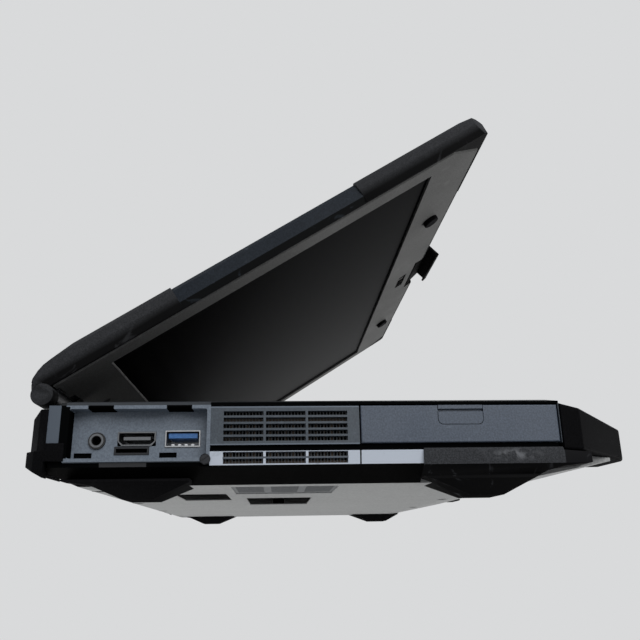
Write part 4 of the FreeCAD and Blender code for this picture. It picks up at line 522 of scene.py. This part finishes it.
def softened(node, body, slot_name, width, steps):
    """A copy of a solid with its outer edges rounded, which stands for it."""
    shape = bmesh.new()
    shape.from_mesh(nodes[node].data)
    bmesh.ops.remove_doubles(shape, verts=shape.verts, dist=MERGE * MM)
    bmesh.ops.dissolve_limit(shape, angle_limit=FLAT_ANGLE, verts=shape.verts, edges=shape.edges)
    outer = [e for e in shape.edges
             if len(e.link_faces) == 2 and e.is_convex and e.calc_face_angle() > ROUND_ANGLE]
    bmesh.ops.bevel(shape, geom=outer, offset=width * MM, offset_type="OFFSET", affect="EDGES",
                    segments=steps, profile=0.5, material=-1, clamp_overlap=True)
    mesh = bpy.data.meshes.new("rounded_" + node)
    shape.to_mesh(mesh)
    shape.free()
    mesh.shade_smooth()
    mesh.set_sharp_from_angle(angle=SHARP_ANGLE)
    mesh.materials.append(nodes[node].data.materials[0])
    made = link("rounded_" + node, mesh, body)
    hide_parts(node)


for name in ("lid_rear_bumpers", "lid_front_bumpers"):
    softened(name, "lid", "bumper_rubber", *LID_BUMPER_ROUND)
for name in ("rear_corner_bumpers", "front_foot_bumpers", "rear_foot_bumpers"):
    softened(name, "base", "bumper_rubber", *BASE_BUMPER_ROUND)
softened("lid_latch", "latch", "skirt_black", *LATCH_ROUND)

# Fine upright wires behind the vent slots, just in front of the fins.
VENT_Y = (-2.2, 47.9)
VENT_Z = (12.4, 34.6)
WIRE_PITCH, WIRE_W, WIRE_T = 1.3, 0.45, 0.32
WIRE_OFF_FINS = 0.1
wire_back = corners("heat_sink")[0][0] - WIRE_OFF_FINS
wires = bmesh.new()
for i in range(int((VENT_Y[1] - VENT_Y[0]) / WIRE_PITCH)):
    y = VENT_Y[0] + WIRE_PITCH * (i + 0.5)
    block(wires, (wire_back - WIRE_T, y - WIRE_W / 2, VENT_Z[0]), (wire_back, y + WIRE_W / 2, VENT_Z[1]))
piece("vent_screen", "base", wire_metal, wires)

# Spring contacts at the mouth of each fast data socket, under its tongue, painted bright as a highlight: one
# socket at the left and two at the right.
CONTACTS, CONTACT_PITCH, CONTACT_W, CONTACT_EDGE = 4, 2.6, 1.3, 0.3
CONTACT_IN = (0.6, 3.5)
CONTACT_UP = (0.44, 1.3)
SOCKET_HALF = 6.95
shells_low, shells_high = corners("usb_shells")
front_socket, rear_socket = shells_low[1] + SOCKET_HALF, shells_high[1] - SOCKET_HALF
contacts = bmesh.new()
for side, socket in ((-1, front_socket), (1, front_socket), (1, rear_socket)):
    low_x, high_x = sorted(side * (shells_high[0] - depth) for depth in CONTACT_IN)
    for i in range(CONTACTS):
        y = socket + (i - (CONTACTS - 1) / 2) * CONTACT_PITCH
        block(contacts, (low_x, y - CONTACT_W / 2, shells_low[2] + CONTACT_UP[0]),
              (high_x, y + CONTACT_W / 2, shells_low[2] + CONTACT_UP[1]), CONTACT_EDGE)
piece("usb_contacts", "base", contact_metal, contacts)

# Plated ring round the mouth of the audio jack: a flat oblong section, spun.
RING_INNER, RING_OUTER, RING_T, RING_STEPS = 2.0, 2.75, 0.3, 36
jack_face = corners("audio_jack")[0][0]
jack_y, jack_z = middle_of("audio_jack")[1:]
ring = bmesh.new()
outline = ((0, RING_INNER), (RING_T, RING_INNER), (RING_T, RING_OUTER), (0, RING_OUTER))
section = [ring.verts.new((jack_face - proud, jack_y + radius, jack_z)) for proud, radius in outline]
sides = [ring.edges.new((section[i - 1], section[i])) for i in range(len(section))]
bmesh.ops.spin(ring, geom=section + sides, cent=(jack_face, jack_y, jack_z), axis=(1, 0, 0), angle=math.tau,
               steps=RING_STEPS, use_merge=True)
bmesh.ops.remove_doubles(ring, verts=ring.verts, dist=MERGE)
bmesh.ops.recalc_face_normals(ring, faces=ring.faces)
piece("jack_ring", "base", jack_metal, ring)

# Slotted screw at the lower front corner of the left port bay: a disc under the two halves of its head. The
# slot is turned by an angle.
SCREW_R, SCREW_T, SCREW_CHAMFER, SCREW_SIDES = 2.1, 0.7, 0.3, 32
SCREW_SLOT_HALF = 0.35
SCREW_TURN = math.radians(35)
SCREW_OFF_CORNER = Vector((0.0, 1.7, 0.7))
to_side = (Matrix.Translation(Vector(corners("port_panel_left")[0]) + SCREW_OFF_CORNER)
           @ Matrix.Rotation(math.radians(-90), 4, "Y"))
screw = bmesh.new()
bmesh.ops.create_cone(screw, cap_ends=True, segments=SCREW_SIDES, radius1=SCREW_R, radius2=SCREW_R,
                      depth=SCREW_T / 2, matrix=to_side @ Matrix.Translation((0, 0, SCREW_T / 4)))
for side in (-1, 1):
    half_head = bmesh.new()
    bmesh.ops.create_cone(half_head, cap_ends=True, segments=SCREW_SIDES, radius1=SCREW_R,
                          radius2=SCREW_R - SCREW_CHAMFER, depth=SCREW_T / 2,
                          matrix=Matrix.Translation((0, 0, SCREW_T * 3 / 4)))
    bmesh.ops.bisect_plane(half_head, geom=half_head.verts[:] + half_head.edges[:] + half_head.faces[:],
                           plane_co=(side * SCREW_SLOT_HALF, 0, 0), plane_no=(-side, 0, 0), clear_outer=True)
    bmesh.ops.holes_fill(half_head, edges=half_head.edges)
    bmesh.ops.transform(half_head, matrix=to_side @ Matrix.Rotation(SCREW_TURN, 4, "Z"),
                        verts=half_head.verts)
    half_mesh = bpy.data.meshes.new("half_head")
    half_head.to_mesh(half_mesh)
    half_head.free()
    screw.from_mesh(half_mesh)
    bpy.data.meshes.remove(half_mesh)
bmesh.ops.recalc_face_normals(screw, faces=screw.faces)
piece("bay_screw", "base", hinge_steel, screw)

# Polished lip along the hinge side of the screen opening, painted pale as a highlight, drawn with the lid shut
# and then opened with it.
LIP_HALF, LIP_W, LIP_T, LIP_ROUND = 157.4, 0.8, 0.6, 0.15
LIP_REAR_Y, LIP_FACE_Z = 91.0, 41.65
lip = bmesh.new()
block(lip, (-LIP_HALF, LIP_REAR_Y - LIP_W, LIP_FACE_Z), (LIP_HALF, LIP_REAR_Y, LIP_FACE_Z + LIP_T), LIP_ROUND)
bmesh.ops.rotate(lip, verts=lip.verts, cent=HINGE, matrix=Matrix.Rotation(-LID_OPEN, 3, "X"))
piece("screen_lip", "lid", lip_plastic, lip)

# Contact pin in the power socket, which ends inside its mouth.
PIN_R, PIN_L, PIN_IN, PIN_SIDES = 0.5, 9.5, 4.45, 20
pin_middle = middle_of("power_socket")
pin_middle[1] = corners("power_socket")[1][1] - PIN_IN - PIN_L / 2
pin = bmesh.new()
bmesh.ops.create_cone(pin, cap_ends=True, segments=PIN_SIDES, radius1=PIN_R, radius2=PIN_R, depth=PIN_L,
                      matrix=Matrix.Translation(pin_middle) @ Matrix.Rotation(math.radians(90), 4, "X"))
piece("power_pin", "base", contact_metal, pin)

# Lights in line with the power button, set into the deck.
LIGHTS, LIGHT_X, LIGHT_PITCH, LIGHT_EDGE = 3, 90.0, 7.0, 0.08
LIGHT_HALF_L, LIGHT_HALF_W = 1.6, 0.6
LIGHT_SUNK, LIGHT_PROUD = 0.1, 0.12
light_y = middle_of("power_button")[1]
deck_top = corners("palm_rest")[1][2]
lights = bmesh.new()
for i in range(LIGHTS):
    x = LIGHT_X + i * LIGHT_PITCH
    block(lights, (x - LIGHT_HALF_L, light_y - LIGHT_HALF_W, deck_top - LIGHT_SUNK),
          (x + LIGHT_HALF_L, light_y + LIGHT_HALF_W, deck_top + LIGHT_PROUD), LIGHT_EDGE)
piece("status_lenses", "base", lens_plastic, lights)

# Legends printed on the keys: plain letters, numbers and common words. Key widths are in units of the pitch.
KEY_PITCH = 19.05
KEY_GAP = 0.85
FUNCTION_DEPTH = 12.0
KEYBOARD_UNITS, FUNCTION_KEYS = 15, 17
LEGEND_ROWS = [
    ["Esc"] + ["F%d" % i for i in range(1, 13)] + ["PrtSc", "Ins", "Del", "End"],
    ["`"] + list("1234567890-=") + ["Back"],
    ["Tab"] + list("QWERTYUIOP[]") + ["\\"],
    ["Caps"] + list("ASDFGHJKL;'") + ["Enter"],
    ["Shift"] + list("ZXCVBNM,./") + ["Shift"],
    ["Ctrl", "Fn", "", "Alt", "", "Alt", "Ctrl", "<", ">"],
]
KEY_UNITS = [
    [KEYBOARD_UNITS / FUNCTION_KEYS] * FUNCTION_KEYS,
    [1.0] * 13 + [2.0],
    [1.5] + [1.0] * 12 + [1.5],
    [1.75] + [1.0] * 11 + [2.25],
    [2.25] + [1.0] * 10 + [2.75],
    [1.25, 1.0, 1.0, 1.25, 6.25, 1.0, 1.25, 1.0, 1.0],
]
LETTER_SIZE, WORD_SIZE, FUNCTION_SIZE = 6.4, 4.0, 3.6
LEGEND_T = 0.03
keys_low, keys_high = corners("keycaps")


def print_legend(shape, words, x, y, size):
    """Flat letters centred at a place on the key tops."""
    curve = bpy.data.curves.new("legend", "FONT")
    curve.body = words
    curve.size = size * MM
    curve.align_x = "CENTER"
    curve.align_y = "CENTER"
    curve.extrude = LEGEND_T * MM
    curve.resolution_u = 2
    holder = bpy.data.objects.new("legend", curve)
    bpy.context.scene.collection.objects.link(holder)
    bpy.context.view_layer.update()
    letters = bpy.data.meshes.new_from_object(holder)
    letters.transform(Matrix.Translation(Vector((x, y, keys_high[2])) * MM))
    shape.from_mesh(letters)
    bpy.data.objects.remove(holder)
    bpy.data.curves.remove(curve)
    bpy.data.meshes.remove(letters)


def legend_size(row, words):
    """The height of the print: small on the function keys, and smaller for words than for letters."""
    if row == 0:
        return FUNCTION_SIZE
    return LETTER_SIZE if len(words) == 1 else WORD_SIZE


legends = bmesh.new()
for row, (words_row, units_row) in enumerate(zip(LEGEND_ROWS, KEY_UNITS)):
    row_front = keys_low[1] - KEY_GAP + (len(KEY_UNITS) - 1 - row) * KEY_PITCH
    row_depth = FUNCTION_DEPTH if row == 0 else KEY_PITCH
    left = keys_low[0] - KEY_GAP
    for words, units in zip(words_row, units_row):
        width = units * KEY_PITCH
        if words:
            print_legend(legends, words, left + width / 2, row_front + row_depth / 2, legend_size(row, words))
        left += width
legend_mesh = bpy.data.meshes.new("key_legends")
legends.to_mesh(legend_mesh)
legends.free()
legend_mesh.materials.append(legend_ink)
link("key_legends", legend_mesh, "base")

# Floor: pale from above, fading into the backdrop. From below it is clear, it lets the low lamps through to
# the underside, and it throws no light back under the lid. Its sizes are in metres.
FLOOR_R, FLOOR_SIDES = 4.0, 96
FLOOR_FADE = (0.35, 1.3)


def floor_finish():
    """Matt pale paint on the upper side that fades out with the distance from the object."""
    made, tree = new_finish("pale_studio_floor")
    faces = add(tree, "ShaderNodeNewGeometry")
    rays = add(tree, "ShaderNodeLightPath")
    clear = add(tree, "ShaderNodeMath", {"operation": "MAXIMUM"},
                links={0: faces.outputs["Backfacing"], 1: rays.outputs["Is Shadow Ray"]})
    clear = add(tree, "ShaderNodeMath", {"operation": "MAXIMUM"},
                links={0: clear.outputs["Value"], 1: rays.outputs["Is Diffuse Ray"]})
    away = add(tree, "ShaderNodeVectorMath", {"operation": "LENGTH"},
               links={0: add(tree, "ShaderNodeTexCoord").outputs["Object"]})
    fade = add(tree, "ShaderNodeMapRange", {"interpolation_type": "SMOOTHSTEP"},
               {"From Min": FLOOR_FADE[0], "From Max": FLOOR_FADE[1]}, {"Value": away.outputs["Value"]})
    clear = add(tree, "ShaderNodeMath", {"operation": "MAXIMUM"},
                links={0: clear.outputs["Value"], 1: fade.outputs["Result"]})
    pale = add(tree, "ShaderNodeBsdfDiffuse", values={"Color": linear("#E4E4E2")})
    nothing = add(tree, "ShaderNodeBsdfTransparent")
    both = add(tree, "ShaderNodeMixShader",
               links={0: clear.outputs["Value"], 1: pale.outputs["BSDF"], 2: nothing.outputs["BSDF"]})
    add(tree, "ShaderNodeOutputMaterial", links={"Surface": both.outputs["Shader"]})
    return made


floor_shape = bmesh.new()
bmesh.ops.create_circle(floor_shape, cap_ends=True, segments=FLOOR_SIDES, radius=FLOOR_R)
floor_mesh = bpy.data.meshes.new("floor")
floor_shape.to_mesh(floor_mesh)
floor_shape.free()
floor_mesh.materials.append(floor_finish())
floor = bpy.data.objects.new("floor", floor_mesh)
bpy.context.scene.collection.objects.link(floor)


def studio_world():
    """Soft even light, with a pale backdrop that the eye, metal and glass see."""
    made = bpy.data.worlds.new("studio")
    made.use_nodes = True
    tree = made.node_tree
    tree.nodes.clear()
    rays = add(tree, "ShaderNodeLightPath")
    seen = add(tree, "ShaderNodeMath", {"operation": "MAXIMUM"},
               links={0: rays.outputs["Is Camera Ray"], 1: rays.outputs["Is Glossy Ray"]})
    seen = add(tree, "ShaderNodeMath", {"operation": "MAXIMUM"},
               links={0: seen.outputs["Value"], 1: rays.outputs["Is Transmission Ray"]})
    soft = add(tree, "ShaderNodeBackground", values={"Color": linear("#F4F6FA"), "Strength": 0.2})
    backdrop = add(tree, "ShaderNodeBackground", values={"Color": linear("#D9DADB"), "Strength": 1.0})
    sky = add(tree, "ShaderNodeMixShader", links={
        0: seen.outputs["Value"], 1: soft.outputs["Background"], 2: backdrop.outputs["Background"]})
    add(tree, "ShaderNodeOutputWorld", links={"Surface": sky.outputs["Shader"]})
    return made


bpy.context.scene.world = studio_world()

# The place that the lamps are aimed at, in metres.
LAMP_AIM = Vector((0.0, 0.0, 0.06))


def lamp(name, place, size, power, colour):
    """A soft square lamp, in metres and watts, that the camera does not see."""
    light = bpy.data.lights.new(name, "AREA")
    light.size = size
    light.energy = power
    light.color = linear(colour)[:3]
    made = bpy.data.objects.new(name, light)
    made.location = place
    made.rotation_euler = (LAMP_AIM - Vector(place)).to_track_quat("-Z", "Y").to_euler()
    made.visible_camera = False
    bpy.context.scene.collection.objects.link(made)


lamp("key_lamp", place=(-1.3, -0.4, 0.9), size=1.1, power=14.0, colour="#FFFFFF")
lamp("back_lamp", place=(0.9, 1.2, 1.2), size=1.2, power=11.0, colour="#F6F9FF")
lamp("low_lamp", place=(0.1, 0.75, -0.7), size=0.7, power=5.6, colour="#FFFFFF")
lamp("front_lamp", place=(0.15, -1.1, -0.3), size=0.6, power=7.2, colour="#FFFFFF")

eye = bpy.data.cameras.new("camera")
eye.lens = CAMERA_LENS
eye.shift_x, eye.shift_y = CAMERA_SHIFT
eye.clip_start = CAMERA_NEAR * MM
camera = bpy.data.objects.new("camera", eye)
camera.location = Vector(CAMERA_PLACE) * MM
camera.rotation_euler = Euler([math.radians(a) for a in CAMERA_TURN])
bpy.context.scene.collection.objects.link(camera)
bpy.context.scene.camera = camera

bpy.context.scene.view_settings.view_transform = "Standard"
